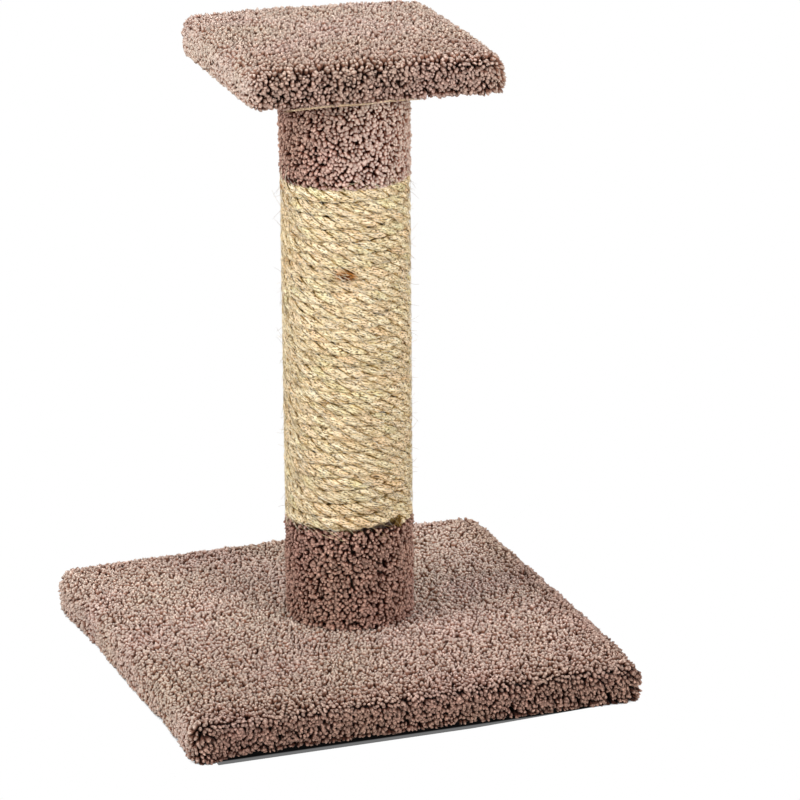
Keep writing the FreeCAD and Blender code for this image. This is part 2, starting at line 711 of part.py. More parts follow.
make_base_board()
make_base_carpet()
make_hem_staples(new_body("base_staples"), BASE_HEM)
make_screws("base_screws", "Sizes.base_screw_length", BOARD_BOTTOM, point_up=True)
make_post_tube()
make_plugs()
make_plug_nails("bottom_plug_nails", BOTTOM_PLUG_MIDDLE)
make_plug_nails("top_plug_nails", TOP_PLUG_MIDDLE)
make_collar("bottom_collar", BASE_TOP, "Sizes.bottom_collar_height")
make_collar("top_collar", WINDING_TOP, "Sizes.top_collar_height")
make_collar_staples("bottom_collar_staples", BASE_TOP, "Sizes.bottom_collar_height")
make_collar_staples("top_collar_staples", WINDING_TOP, "Sizes.top_collar_height")
make_rope()
make_rope_staples()
make_perch_board()
make_perch_carpet()
make_hem_staples(perch_body("perch_staples"), PERCH_HEM)
make_screws("perch_screws", "Sizes.perch_screw_length", PERCH_BOARD_TOP, point_up=False)
doc.recompute()

for item in doc.Objects:
    if "Invalid" in item.State or "Error" in item.State:
        raise RuntimeError(f"{item.Label}: {item.State}")
    if item.TypeId in ("PartDesign::Pocket", "PartDesign::Groove"):
        if item.Shape.Volume >= item.BaseFeature.Shape.Volume:
            raise RuntimeError(f"{item.Label} cuts nothing")

subparts = [item for item in doc.Objects if item.TypeId in ("PartDesign::Body", "Part::Feature")]
for item in subparts:
    if item.Shape.isNull() or not item.Shape.isValid():
        raise RuntimeError(f"{item.Label} has no valid shape")
for item in subparts:
    item.Shape.exportStep(f"parts/{item.Label}.step")
    print(f"{item.Label}: {len(item.Shape.Solids)} solids, {item.Shape.Volume / 1000:.2f} cm3")
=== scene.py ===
"""The looks of the cat scratching post: tufted carpet, wound sisal, boards, card tube and fixings.

Every length is in metres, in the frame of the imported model: +Z up, the base resting on z = 0,
the front of the base facing -Y.
"""

import math

import bpy
import numpy as np
from mathutils import Matrix, Vector

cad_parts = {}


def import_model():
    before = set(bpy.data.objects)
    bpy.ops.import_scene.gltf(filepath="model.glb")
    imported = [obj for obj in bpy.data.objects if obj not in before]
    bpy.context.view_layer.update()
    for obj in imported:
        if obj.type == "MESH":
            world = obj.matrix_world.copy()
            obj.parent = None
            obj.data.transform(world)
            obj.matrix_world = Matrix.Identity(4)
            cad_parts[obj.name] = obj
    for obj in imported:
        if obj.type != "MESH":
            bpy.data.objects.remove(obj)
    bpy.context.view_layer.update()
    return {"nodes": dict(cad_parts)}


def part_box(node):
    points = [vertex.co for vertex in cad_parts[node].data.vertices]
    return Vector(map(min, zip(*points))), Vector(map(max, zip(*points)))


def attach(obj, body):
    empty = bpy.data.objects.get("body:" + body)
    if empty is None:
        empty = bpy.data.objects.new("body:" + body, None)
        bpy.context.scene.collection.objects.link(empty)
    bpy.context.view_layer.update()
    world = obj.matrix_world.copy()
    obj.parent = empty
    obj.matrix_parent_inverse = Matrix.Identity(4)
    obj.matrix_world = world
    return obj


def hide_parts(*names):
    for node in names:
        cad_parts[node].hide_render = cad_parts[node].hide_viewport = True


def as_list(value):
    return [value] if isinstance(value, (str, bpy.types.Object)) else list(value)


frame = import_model()

MM = 0.001
TURN = 2.0 * math.pi
UP = np.array([0.0, 0.0, 1.0])
SIDES = ("right", "back", "left", "front")      # a square's sides, each a quarter turn after the last


# ---------------------------------------------------------------- sizes

# Carpet. The pile is plied cut yarn on a woven backing.
BACKING = 2.0 * MM              # thickness of the woven backing
BACKING_GAP = 0.2 * MM          # between a board or tube and the backing
BACKING_RISE = BACKING + BACKING_GAP
TUFT_SUNK = 0.4 * MM            # how deep a tuft's root sits in the backing
TOP_GAP = 3.0 * MM              # spacing of the tufts on the flat tops
SIDE_GAP = 3.15 * MM            # spacing of the tufts on sides, edges and collars
HEM_GAP = 3.6 * MM              # spacing under the boards
TUFT_RADIUS = 1.60 * MM
TUFT_SIDES = 6
TUFT_LEVELS = (0.0, 0.45, 0.84, 0.95)      # heights of a tuft's rings, as shares of its length
TUFT_WIDTHS = (0.52, 0.80, 1.0, 0.74)      # widths of those rings, as shares of its radius
TUFT_TOP = 1.03                            # height of the middle of its rounded end
TUFT_SHADES = (0.0, 0.40, 0.68, 0.86, 1.0) # place in the pile's colours of each ring and of the end: painted shade low down and at the rim, a painted highlight in the middle of the end
TUFT_TWIST = math.radians(32)              # how far the yarn turns from one ring to the next
PLY_DEPTH = 0.16                           # how deep the groove between the plies is
TUFT_OVAL = 0.32                           # how far from round a tuft's section can be
END_ROUGH = 0.26 * MM                      # how uneven the cut end of a tuft is
DROOP = 0.9 * MM                           # how far gravity pulls the tip of a level tuft down
RING_WANDER = 0.16 * MM                    # how far a tuft's rings stray from its line
RADIUS_SPREAD = 0.18                       # how much the tufts differ in radius, as a share of it
UNEVEN = (26 * MM, 0.45 * MM)              # wavelength and height of the slow swell of the pile
WORN_BY = (1.4, 3.4)                       # how many millimetres shorter a worn tuft is
CLUMPS = (                                 # wavelength, push and seed of the leans that neighbours share
    (10.5 * MM, 1.35 * MM, 0),
    (24 * MM, 1.3 * MM, 9),
)
CELL_MARGIN = 0.06                         # free edge of each piece's cell in a bake map

EDGE_WIDTH = 24 * MM                       # how far from an edge of a top the pile is worn, and darkened by painted shade
EDGE_SHADE = 0.5                            # how much painted shade the pile has at a top's edge, as a share of that of the side below it

# Base and perch: the carpet's reach past the board, from the imported boxes.
BASE_LOW, BASE_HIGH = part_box("base_board")
BASE_OUT_LOW, BASE_OUT_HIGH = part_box("base_carpet")
BASE_HALF = (BASE_HIGH.x - BASE_LOW.x) / 2
BASE_SIDE = BASE_OUT_HIGH.x - BASE_HIGH.x
BASE_ABOVE = BASE_OUT_HIGH.z - BASE_HIGH.z
BASE_BELOW = BASE_LOW.z - BASE_OUT_LOW.z
BASE_HEM = 38 * MM

PERCH_TURN = math.radians(-1.7)
PERCH_LOW, PERCH_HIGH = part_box("perch_board")
PERCH_OUT_LOW, PERCH_OUT_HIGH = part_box("perch_carpet")
PERCH_SPREAD = math.cos(PERCH_TURN) + abs(math.sin(PERCH_TURN))
PERCH_HALF = (PERCH_HIGH.x - PERCH_LOW.x) / 2 / PERCH_SPREAD
PERCH_SIDE = (PERCH_OUT_HIGH.x - PERCH_OUT_LOW.x) / 2 / PERCH_SPREAD - PERCH_HALF
PERCH_ABOVE = PERCH_OUT_HIGH.z - PERCH_HIGH.z
PERCH_BELOW = PERCH_LOW.z - PERCH_OUT_LOW.z
PERCH_HEM = 30 * MM
PERCH_MIDDLE = ((PERCH_LOW.x + PERCH_HIGH.x) / 2, (PERCH_LOW.y + PERCH_HIGH.y) / 2)

# Post.
TUBE_LOW, TUBE_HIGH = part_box("post_tube")
POST_X = (TUBE_LOW.x + TUBE_HIGH.x) / 2
POST_Y = (TUBE_LOW.y + TUBE_HIGH.y) / 2
TUBE_RADIUS = (TUBE_HIGH.x - TUBE_LOW.x) / 2
COLLAR_LOW, COLLAR_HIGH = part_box("bottom_collar")
COLLAR_RADIUS = (COLLAR_HIGH.x - COLLAR_LOW.x) / 2
LOWER_COLLAR = (COLLAR_LOW.z, COLLAR_HIGH.z)
UPPER_COLLAR = (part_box("top_collar")[0].z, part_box("top_collar")[1].z)
SEAM_ANGLE = math.radians(90)
SEAM_SLIT = 0.8 * MM
COLLAR_BACKING_RADIUS = TUBE_RADIUS + BACKING_GAP + BACKING / 2
COLLAR_TRIM = 0.3 * MM           # how much the backing stops short of the collar's upper and lower edge

# Rope: three strands laid right-handed, wound right-handed and pressed flat against its neighbours.
ROPE_TURNS = 27.27
ROPE_START = math.radians(-52)
ROPE_HALF_HEIGHT = 5.65 * MM
ROPE_HALF_DEPTH = 4.80 * MM
ROPE_SQUARENESS = 2.5            # power of the section's outline: 2 is an ellipse
ROPE_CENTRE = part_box("sisal_rope")[1].y - POST_Y - 4.75 * MM
ROPE_LAY = 37 * MM
STRAND_OFFSET = 1.85 * MM        # from the rope's middle to the middle of a strand's rounded back
STRAND_RADIUS = 3.15 * MM        # radius of that back
STRAND_BACK = 19                 # points across the back
STRAND_STEP = 1.72 * MM
STRAND_FILL = 0.992              # how much of its third of the section a strand fills
STRAND_CORE = 0.3 * MM           # from the rope's middle to the inner edge of a strand
STRAND_FIBRE_TURN = 0.45         # how far its fibres turn with it, as a share
STRAND_RELIEF = 0.108 * MM       # height of each set of ridges of its fibres
STRAND_RIDGES = (7, 19)          # how many ridges a set has round the rope
STRAND_RIDGE_SETS = 12
GROOVE_SHADE = (-0.4 * MM, 1.9 * MM)         # how far out from ROPE_CENTRE the grooves' shade ends
BAKE_ROWS = 56                   # rows of a strand's bake map
ROPE_STAINS = (                  # degrees round the post, height, half width, half height and strength
    (-110, 331 * MM, 7 * MM, 4 * MM, 1.0),
    (-86, 136 * MM, 9 * MM, 3 * MM, 0.35),
    (-185, 394 * MM, 8 * MM, 4 * MM, 0.4),
    (60, 230 * MM, 10 * MM, 4 * MM, 0.6),
)
COLLAR_HAIRS = (                 # stray sisal hairs over the collars: degrees and height of each end
    (-178, 397 * MM, -176, 421 * MM),
    (-172, 397 * MM, -168, 415 * MM),
    (-118, 399 * MM, -94, 409 * MM),
    (-104, 398 * MM, -88, 404 * MM),
    (-66, 398 * MM, -58, 412 * MM),
    (-134, 116 * MM, -110, 112 * MM),
    (-126, 119 * MM, -112, 109 * MM),
    (-80, 118 * MM, -70, 108 * MM),
)

# Camera, as the photograph was taken.
CAMERA_AZIMUTH = math.radians(-19.75)
CAMERA_ELEVATION = math.radians(18.14)
CAMERA_ROLL = math.radians(0.44)
CAMERA_DISTANCE = 3.5775
CAMERA_LENS = 201.33
CAMERA_AIM_RIGHT = 41.86 * MM
CAMERA_AIM_UP = 212.72 * MM

FRONT_SHADOW = 10 * MM           # reach of the shadow band on the table in front of the base's left half
FRONT_SHADOW_THINNEST = 1 * MM   # its reach at its right end
FRONT_SHADOW_STARTS = 18 * MM    # how far inside the carpet's front and side edges the band starts
FRONT_SHADOW_THINS = (40 * MM, 172 * MM)     # X where the band starts to thin and where it ends
FRONT_SHADOW_FADES = (3 * MM, 5 * MM)        # distances before the base where it turns to grey


# ---------------------------------------------------------------- numbers

def unit(vectors):
    """The vectors scaled to length 1."""
    return vectors / np.linalg.norm(vectors, axis=-1, keepdims=True)


def waves(seed, count=14):
    """Directions, stretches and phases of a set of random plane waves."""
    rng = np.random.default_rng(seed)
    directions = unit(rng.normal(size=(count, 3)))
    stretches = rng.uniform(0.65, 1.5, count)
    phases = rng.uniform(0, TURN, count)
    return directions * stretches[:, None], phases


def swell(points, wavelength, seed):
    """A smooth random field with bumps about one wavelength apart and a spread of about 0.5."""
    pushes, phases = waves(seed)
    return np.sin(points @ pushes.T * (TURN / wavelength) + phases).sum(1) / math.sqrt(2 * len(phases))


def slope(points, wavelength, seed):
    """The uphill direction of that field, as vectors with a spread of about 0.5."""
    pushes, phases = waves(seed)
    rates = np.cos(points @ pushes.T * (TURN / wavelength) + phases)
    return rates @ pushes / math.sqrt(2 * len(phases))


def lattice(width, height, gap, rng, jitter=0.2):
    """Points of a staggered lattice over a rectangle, each moved a little at random."""
    columns = max(1, round(width / gap))
    rows = max(1, round(height / (gap * math.sqrt(0.75))))
    row, column = np.meshgrid(np.arange(rows), np.arange(columns), indexing="ij")
    u = (column + 0.25 + 0.5 * (row % 2)) / columns * width
    v = (row + 0.5) / rows * height
    points = np.stack([u.ravel(), v.ravel()], 1)
    return points + rng.normal(scale=jitter * gap, size=points.shape)


def turned(vectors, angle):
    """The vectors turned about Z."""
    c, s = math.cos(angle), math.sin(angle)
    return vectors @ np.array([[c, s, 0.0], [-s, c, 0.0], [0.0, 0.0, 1.0]])


def xyz(x, y, z):
    """Points or vectors from their coordinates, some of which may be single numbers."""
    return np.stack(np.broadcast_arrays(x, y, z), -1)


def on_post(radius, angle, z):
    """Points at a radius and an angle round the post's axis."""
    return xyz(POST_X + radius * np.cos(angle), POST_Y + radius * np.sin(angle), z)


def by_side(values, x, y):
    """The values of the right or left and of the back or front side that each x and y belongs to."""
    right, back, left, front = values
    return np.column_stack([np.where(x > 0, right, left), np.where(y > 0, back, front)])


def smooth(low, high, values):
    """0 below low, 1 above high and a smooth step between."""
    t = np.clip((values - low) / (high - low), 0, 1)
    return t * t * (3 - 2 * t)


# ---------------------------------------------------------------- meshes

def add_object(name, data):
    """A new object of the scene."""
    obj = bpy.data.objects.new(name, data)
    bpy.context.scene.collection.objects.link(obj)
    return obj


def new_mesh(name, points, corners, sizes, uv, **attributes):
    """A smooth mesh object from arrays: points, corner indices, the corners of each face and a bake map."""
    mesh = bpy.data.meshes.new(name)
    mesh.vertices.add(len(points))
    mesh.vertices.foreach_set("co", points.astype(np.float32).ravel())
    mesh.loops.add(len(corners))
    mesh.loops.foreach_set("vertex_index", corners.astype(np.int32))
    mesh.polygons.add(len(sizes))
    mesh.polygons.foreach_set("loop_start", np.concatenate([[0], np.cumsum(sizes)[:-1]]).astype(np.int32))
    mesh.update(calc_edges=True)
    mesh.shade_smooth()
    layer = mesh.uv_layers.new(name="OFBake")
    layer.data.foreach_set("uv", uv.astype(np.float32).ravel())
    for label, values in attributes.items():
        data = mesh.attributes.new(label, "FLOAT", "POINT")
        data.data.foreach_set("value", values.astype(np.float32).ravel())
    return add_object(name, mesh)


def copies(name, points, faces, places, grid, **attributes):
    """One mesh of many pieces alike, each with a cell of its own in the bake map.

    points holds the points of each piece, faces and places the corners of one piece's faces and where
    they lie in its cell, and grid the width and height of the cell in the same measure.
    """
    count, per_piece = points.shape[:2]
    one = np.array([corner for face in faces for corner in face])
    corners = (np.arange(count)[:, None] * per_piece + one).ravel()
    sizes = np.tile([len(face) for face in faces], count)
    spots = CELL_MARGIN + (1 - 2 * CELL_MARGIN) * np.array(places, float) / np.array(grid)
    columns = math.ceil(math.sqrt(count))
    cell = np.stack([np.arange(count) % columns, np.arange(count) // columns], 1)
    uv = (cell[:, None] + spots) / columns
    return new_mesh(name, points.reshape(-1, 3), corners, sizes, uv.reshape(-1, 2), **attributes)


def wall(rings, sides):
    """The faces of a tube from ring to ring, and where their corners lie in its cell of the bake map."""
    faces, places = [], []
    for ring in range(rings - 1):
        for side in range(sides):
            low, high = ring * sides, (ring + 1) * sides
            after = (side + 1) % sides
            faces.append((low + side, low + after, high + after, high + side))
            places += [(side, ring), (side + 1, ring), (side + 1, ring + 1), (side, ring + 1)]
    return faces, places


def grid_faces(wide, tall):
    """The faces of a grid of points, with so many in each row and so many rows."""
    return [(j * wide + i, j * wide + i + 1, (j + 1) * wide + i + 1, (j + 1) * wide + i)
            for j in range(tall - 1) for i in range(wide - 1)]


def set_material(obj, material):
    """Gives an object this material alone."""
    obj.data.materials.clear()
    obj.data.materials.append(material)


def dress(obj, material):
    """Gives a new piece its material, and lets it ride on the one body."""
    set_material(obj, material)
    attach(obj, "root")
    return obj


# ---------------------------------------------------------------- tufts

def tuft_faces():
    """The faces of one tuft, its wall, its rounded top and its root, and their places in its cell."""
    rings = len(TUFT_LEVELS)
    last, tip = (rings - 1) * TUFT_SIDES, rings * TUFT_SIDES
    faces, places = wall(rings, TUFT_SIDES)
    for side in range(TUFT_SIDES):
        faces.append((last + side, last + (side + 1) % TUFT_SIDES, tip))
        places += [(side, rings - 1), (side + 1, rings - 1), (side + 0.5, rings)]
    faces.append(tuple(reversed(range(TUFT_SIDES))))
    for side in faces[-1]:
        a = side / TUFT_SIDES * TURN
        places.append((TUFT_SIDES / 2 + 0.4 * TUFT_SIDES * math.cos(a), rings + 0.6 + 0.35 * math.sin(a)))
    return faces, places


def plant(name, roots, ways, lengths, leans, radii, rng, drift, dirt, floor, ceiling):
    """One mesh of twisted tufts: each grows from its root along its way and leans over at the tip."""
    count = len(roots)
    side_way = unit(np.cross(ways, np.where(np.abs(ways[:, 2:]) < 0.9, UP, np.array([1.0, 0.0, 0.0]))))
    other_way = np.cross(ways, side_way)
    start = rng.uniform(0, TURN, count)
    oval = rng.uniform(0, TUFT_OVAL, count)
    oval_way = rng.uniform(0, TURN, count)
    spots = []
    for ring, (level, width) in enumerate(zip(TUFT_LEVELS, TUFT_WIDTHS)):
        centre = roots + ways * (lengths * level)[:, None] + leans * level ** 2 + drift * level
        centre = centre + rng.normal(scale=RING_WANDER * level, size=centre.shape)
        for side in range(TUFT_SIDES):
            angle = start + side / TUFT_SIDES * TURN + ring * TUFT_TWIST
            groove = 1 - PLY_DEPTH * (side % 3 == 0)
            lump = rng.uniform(0.80, 1.20, count) * (1 + oval * np.cos(2 * (angle - oval_way)))
            reach = radii * width * groove * lump
            spot = centre + side_way * (reach * np.cos(angle))[:, None]
            spot += other_way * (reach * np.sin(angle))[:, None]
            spot += ways * rng.normal(scale=END_ROUGH * level ** 2, size=(count, 1))
            spots.append(spot)
    tip = roots + ways * (lengths * TUFT_TOP)[:, None] + leans * TUFT_TOP ** 2 + drift
    spots.append(tip + rng.normal(scale=1.4 * END_ROUGH, size=(count, 3)))
    points = np.stack(spots, 1)
    points[..., 2] = points[..., 2].clip(floor, ceiling)

    faces, places = tuft_faces()
    shades = [*np.repeat(TUFT_SHADES[:-1], TUFT_SIDES), TUFT_SHADES[-1]]
    return copies(name, points, faces, places, (TUFT_SIDES, len(TUFT_LEVELS) + 1.0),
                  height=np.tile(shades, count), tone=np.repeat(rng.uniform(0, 1, count), len(shades)),
                  dirt=np.repeat(dirt, len(shades)))


def part_pile(tips, leans, start, end, width, push, broken=0.0):
    """Leans tufts away from the line between two points, as where the pile has parted."""
    start, end = np.array(start), np.array(end)
    along = end - start
    t = np.clip((tips - start) @ along / (along @ along), 0, 1)
    foot = start + t[:, None] * along
    away = tips - foot
    distance = np.linalg.norm(away, axis=1)
    strength = push * np.exp(-(distance / width) ** 2)
    strength = strength * (1 - broken * smooth(0.0, 0.35, swell(foot, 17 * MM, 77)))
    return leans + away / np.maximum(distance, 0.2 * MM)[:, None] * strength[:, None]


def pitted(tips, pits):
    """How much shorter the tufts are in small gaps in the pile: each has a place, a radius and a depth."""
    less = np.zeros(len(tips))
    for x, y, z, radius, depth in pits:
        distance = np.linalg.norm(tips - np.array([x, y, z]), axis=1)
        less = np.maximum(less, depth * np.exp(-(distance / radius) ** 4))
    return less


def grow(name, anchors, ways, reach, rng, fat, clump, loose, ragged, worn, seed, dirt,
         partings=(), pits=(), drift=None, floor=-math.inf, ceiling=math.inf):
    """Plants tufts whose tips reach a given distance from their anchors on the board or tube.

    clump is how far neighbours lean together, loose how far each leans by itself, ragged how uneven
    they are in length, and worn the share of them, or of those at each place, that are much shorter.
    """
    count = len(reach)
    sunk = BACKING_RISE - TUFT_SUNK
    tips = anchors + ways * reach[:, None]
    reach = reach + ragged * rng.normal(size=count) + UNEVEN[1] * swell(tips, UNEVEN[0], seed + 5)
    reach = reach - rng.uniform(*WORN_BY, count) * MM * (rng.uniform(size=count) < worn)
    reach = reach - pitted(tips, pits)
    leans = sum(slope(tips, length, seed + more) * (push * clump) for length, push, more in CLUMPS)
    leans += rng.normal(scale=loose, size=leans.shape)
    leans[:, 2] -= DROOP * (1 - np.abs(ways[:, 2]))
    for parting in partings:
        leans = part_pile(tips, leans, *parting)
    leans -= ways * (leans * ways).sum(1)[:, None]
    radii = TUFT_RADIUS * fat * rng.normal(1, RADIUS_SPREAD, count).clip(0.6, 1.55)
    return plant(name, anchors + ways * sunk, ways, reach - sunk, leans, radii, rng,
                 drift(tips) if drift else 0.0, dirt, floor, ceiling)


# ---------------------------------------------------------------- carpet squares

class CarpetSquare:
    """One square of carpet wrapped over a square board and hemmed under it."""

    TOP_POWER = 1.9          # how square the upper edge is

    def __init__(self, name, half, low, high, side, above, below, hem, low_power, plan_power, fuller, swells,
                 dirty, seed, top_darker=0.0, middle=(0.0, 0.0), turn=0.0, tilt=0.0, crown=0.0, roll=0.0):
        self.name, self.half, self.low, self.high = name, half, low, high
        self.side, self.above, self.below, self.hem = side, above, below, hem
        self.low_power = low_power          # how square the lower edge is
        self.plan_power = plan_power        # how square each corner is in plan, 2 for a circle: back
                                            # right, back left, front left and front right
        self.fuller = fuller                # how much further the right, back, left and front pile reach
        self.swells = swells                # where the side pile reaches further: x, y, width, reaches
        self.dirty = dirty                  # how much painted shade the right, back, left and front pile have, to 1
        self.top_darker = top_darker            # how much darker the top is painted all over
        self.crown = crown                  # how much lower the top is at its corners
        self.roll = roll                    # how much lower it is at its front edge
        self.middle, self.turn, self.tilt, self.seed = middle, turn, tilt, seed

    def placed(self, points):
        """Points of the square's own frame in the frame of the model."""
        return turned(points, self.turn) + np.array([self.middle[0], self.middle[1], 0.0])

    def reach(self, anchors, ways):
        """How far the pile reaches past the board from each anchor in each direction."""
        x, y, z = ways.T
        side = self.side + by_side(self.fuller, x, y)
        back_right, back_left, front_left, front_right = self.plan_power
        plan = np.where(y > 0, np.where(x > 0, back_right, back_left),
                        np.where(x > 0, front_right, front_left))
        flat = (np.abs(ways[:, :2] / side) ** plan[:, None]).sum(1) ** (1 / plan)
        rise = np.abs(z) / np.where(z > 0, self.above, self.below)
        power = np.where(z > 0, self.TOP_POWER, self.low_power)
        reach = (flat ** power + rise ** power) ** (-1 / power)
        for swell_x, swell_y, wide, sideways, endways in self.swells:
            away = np.hypot(anchors[:, 0] - swell_x, anchors[:, 1] - swell_y)
            reach += (sideways * np.abs(x) + endways * np.abs(y)) * np.exp(-(away / wide) ** 2)
        return reach

    def dirt(self, ways):
        """How much painted shade the pile of the sides has that points each way: less towards the top."""
        level = np.abs(ways[:, :2]) + 1e-6
        around = (level * by_side(self.dirty, *ways[:, :2].T)).sum(1) / level.sum(1)
        return around * (1 - (1 - EDGE_SHADE) * smooth(0.3, 1.0, ways[:, 2]))

    def edge_dirt(self, anchors):
        """How much painted shade the top has where it comes near the sides that have it."""
        near = smooth(self.half - EDGE_WIDTH, self.half, np.abs(anchors[:, :2]))
        return EDGE_SHADE * (near * by_side(self.dirty, *anchors[:, :2].T)).max(1)

    def lean_over(self, tips):
        """How far each tip rises or sinks where the pile sits aslant, or is lower towards its corners."""
        x, y = tips[:, 0] - self.middle[0], tips[:, 1] - self.middle[1]
        sunk = self.crown * (x ** 2 + y ** 2) / 2 / self.half ** 2
        sunk += self.roll * smooth(self.half - EDGE_WIDTH, self.half + self.side, -y)
        rise = -self.tilt * x - sunk * smooth(self.low, self.high + self.above / 2, tips[:, 2])
        return rise[:, None] * UP

    def bend(self, z, above, sign, rng):
        """Tufts that fan out from the right side's upper or lower edge, as far as straight up or down."""
        arc = math.pi / 2 * (self.side + above) / 2
        spots = lattice(2 * self.half, arc, SIDE_GAP, rng)
        angle = spots[:, 1] / arc * (sign * math.pi / 2)
        return xyz(self.half, spots[:, 0] - self.half, z), xyz(np.cos(angle), 0.0, np.sin(angle))

    def panel(self, rng):
        """Tufts of the flat part of the right side."""
        spots = lattice(2 * self.half, self.high - self.low, SIDE_GAP, rng)
        anchors = xyz(self.half, spots[:, 0] - self.half, spots[:, 1] + self.low)
        return anchors, np.tile([1.0, 0.0, 0.0], (len(spots), 1))

    def hemmed(self, rng):
        """Tufts of the right side's hem, which ends in mitres."""
        spots = lattice(2 * self.half, self.hem, HEM_GAP, rng)
        along, inset = spots[:, 0] - self.half, spots[:, 1]
        anchors = xyz(self.half - inset, along, self.low)[np.abs(along) < self.half - inset]
        return anchors, np.tile(-UP, (len(anchors), 1))

    def corner(self, rng):
        """Tufts of the upright corner between the right side and the back."""
        arc = 0.85 * self.side * math.pi / 2
        spots = lattice(arc, self.high - self.low, SIDE_GAP, rng, jitter=0.16)
        angle = spots[:, 0] / arc * math.pi / 2
        return xyz(self.half, self.half, spots[:, 1] + self.low), xyz(np.cos(angle), np.sin(angle), 0.0)

    def knob(self, z, sign, rng):
        """Tufts of the corner's upper or lower point."""
        ways = []
        for lift in np.arange(0.5, 5) / 5 * math.pi / 2:
            level = math.cos(lift)
            count = max(1, round(level * 0.9 * self.side * math.pi / 2 / SIDE_GAP))
            angle = (np.arange(count) + 0.5) / count * math.pi / 2 + rng.normal(scale=0.06, size=count)
            ways.append(xyz(level * np.cos(angle), level * np.sin(angle), sign * math.sin(lift)))
        ways = np.vstack(ways)
        return np.tile([self.half, self.half, z], (len(ways), 1)), ways

    def plant_top(self, label, x0, x1, y0, y1, seed, hole=None):
        """The pile piece of a rectangle of the top, less a round hole where the post stands."""
        rng = np.random.default_rng(seed)
        spots = lattice(x1 - x0, y1 - y0, TOP_GAP, rng)
        anchors = xyz(spots[:, 0] + x0, spots[:, 1] + y0, self.high)
        if hole:
            x, y, radius = hole
            anchors = anchors[np.hypot(anchors[:, 0] - x, anchors[:, 1] - y) > radius]
        ways = np.tile(UP, (len(anchors), 1))
        # Towards the front the top is more often worn short, and it is given painted shade there, where less
        # light falls on it.
        front = smooth(0.0, -self.half, anchors[:, 1])
        near_front = smooth(self.half - EDGE_WIDTH, self.half, -anchors[:, 1])
        return grow(f"{self.name}_pile_{label}", self.placed(anchors), turned(ways, self.turn),
                    self.reach(anchors, ways), rng, fat=1.0, clump=0.30, loose=0.45 * MM, ragged=0.75 * MM,
                    worn=0.05 + 0.09 * front + 0.08 * near_front, seed=self.seed, drift=self.lean_over,
                    dirt=np.maximum(self.top_darker + 0.22 * front, self.edge_dirt(anchors)))

    def plant_side(self, label, quarter, seed, partings=(), pits=(), floor=-math.inf, rough=1.0):
        """The pile piece of one side with its edges, hem and corner."""
        rng = np.random.default_rng(seed)
        patches = [
            self.bend(self.high, self.above, 1, rng),
            self.panel(rng),
            self.bend(self.low, self.below, -1, rng),
            self.hemmed(rng),
            self.corner(rng),
            self.knob(self.high, 1, rng),
            self.knob(self.low, -1, rng),
        ]
        anchors, ways = (turned(np.vstack(rows), quarter * math.pi / 2) for rows in zip(*patches))
        return grow(f"{self.name}_pile_{label}", self.placed(anchors), turned(ways, self.turn),
                    self.reach(anchors, ways), rng, fat=1.10, clump=0.80 * rough, loose=0.50 * MM,
                    ragged=0.5 * MM * rough, worn=0.09 * rough, seed=self.seed, partings=partings, pits=pits,
                    drift=self.lean_over, dirt=self.dirt(ways), floor=floor)

    def backing(self, material):
        """The woven backing: a cut square, folded round the board and mitred under it."""
        rise = BACKING_GAP + BACKING / 2
        wide = 25
        steps = np.linspace(-1, 1, wide)
        fold = [(rise * math.sin(a), rise * math.cos(a)) for a in np.linspace(0, math.pi / 2, 5)[1:]]
        path = [(self.half + out, self.high + up, 0.0) for out, up in fold]
        path += [(self.half + rise, z, 0.0) for z in np.linspace(self.high, self.low, 5)[1:]]
        path += [(self.half + down, self.low - out, 0.0) for out, down in fold]
        path += [(self.half - inset, self.low - rise, inset) for inset in np.linspace(0, self.hem, 6)[1:]]
        points = [(x * self.half, y * self.half, self.high + rise) for y in steps for x in steps]
        faces = grid_faces(wide, wide)
        numbers = np.arange(wide * wide).reshape(wide, wide)
        edges = (numbers[:, -1], numbers[-1, ::-1], numbers[::-1, 0], numbers[0])
        for quarter, before in enumerate(edges):
            for out, z, inset in path:
                row = xyz(out, steps * (self.half - inset), z)
                after = np.arange(len(points), len(points) + wide)
                points.extend(turned(row, quarter * math.pi / 2))
                faces += zip(before[:-1], after[:-1], after[1:], before[1:])
                before = after
        obj = thick_sheet(f"{self.name}_backing", self.placed(np.array(points)), faces)
        dress(obj, material)
        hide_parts(f"{self.name}_carpet")
        return obj

    def flat_size(self):
        """(side, area) of the carpet as cut: a square with its corners taken out and its hems mitred."""
        drop = (self.high - self.low) + math.pi * (BACKING_GAP + BACKING / 2)
        side = 2 * (self.half + drop + self.hem)
        area = (2 * self.half) ** 2 + 4 * drop * 2 * self.half + 4 * self.hem * (2 * self.half - self.hem)
        return side, area


def thick_sheet(name, points, faces):
    """A closed sheet of the backing's thickness about a surface of quads."""
    mesh = bpy.data.meshes.new(name)
    mesh.from_pydata(points.tolist(), [], [tuple(map(int, face)) for face in faces])
    mesh.update()
    obj = add_object(name, mesh)
    solid = obj.modifiers.new("thickness", "SOLIDIFY")
    solid.thickness = BACKING
    solid.offset = 0.0
    bpy.context.view_layer.update()
    made = bpy.data.meshes.new_from_object(obj.evaluated_get(bpy.context.evaluated_depsgraph_get()))
    obj.modifiers.clear()
    obj.data = made
    made.name = name
    made.shade_smooth()
    return obj


# ---------------------------------------------------------------- collars

def collar_backing(name, low, high, material):
    """A strip of backing bent round the tube, with its butt seam at the back."""
    slit = SEAM_SLIT / COLLAR_BACKING_RADIUS
    angles = SEAM_ANGLE + slit / 2 + np.linspace(0, TURN - slit, 97)
    levels = np.linspace(low + COLLAR_TRIM, high - COLLAR_TRIM, 13)
    points = on_post(COLLAR_BACKING_RADIUS, angles, levels[:, None]).reshape(-1, 3)
    obj = thick_sheet(f"{name}_backing", points, grid_faces(len(angles), len(levels)))
    dress(obj, material)
    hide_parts(name)
    return obj


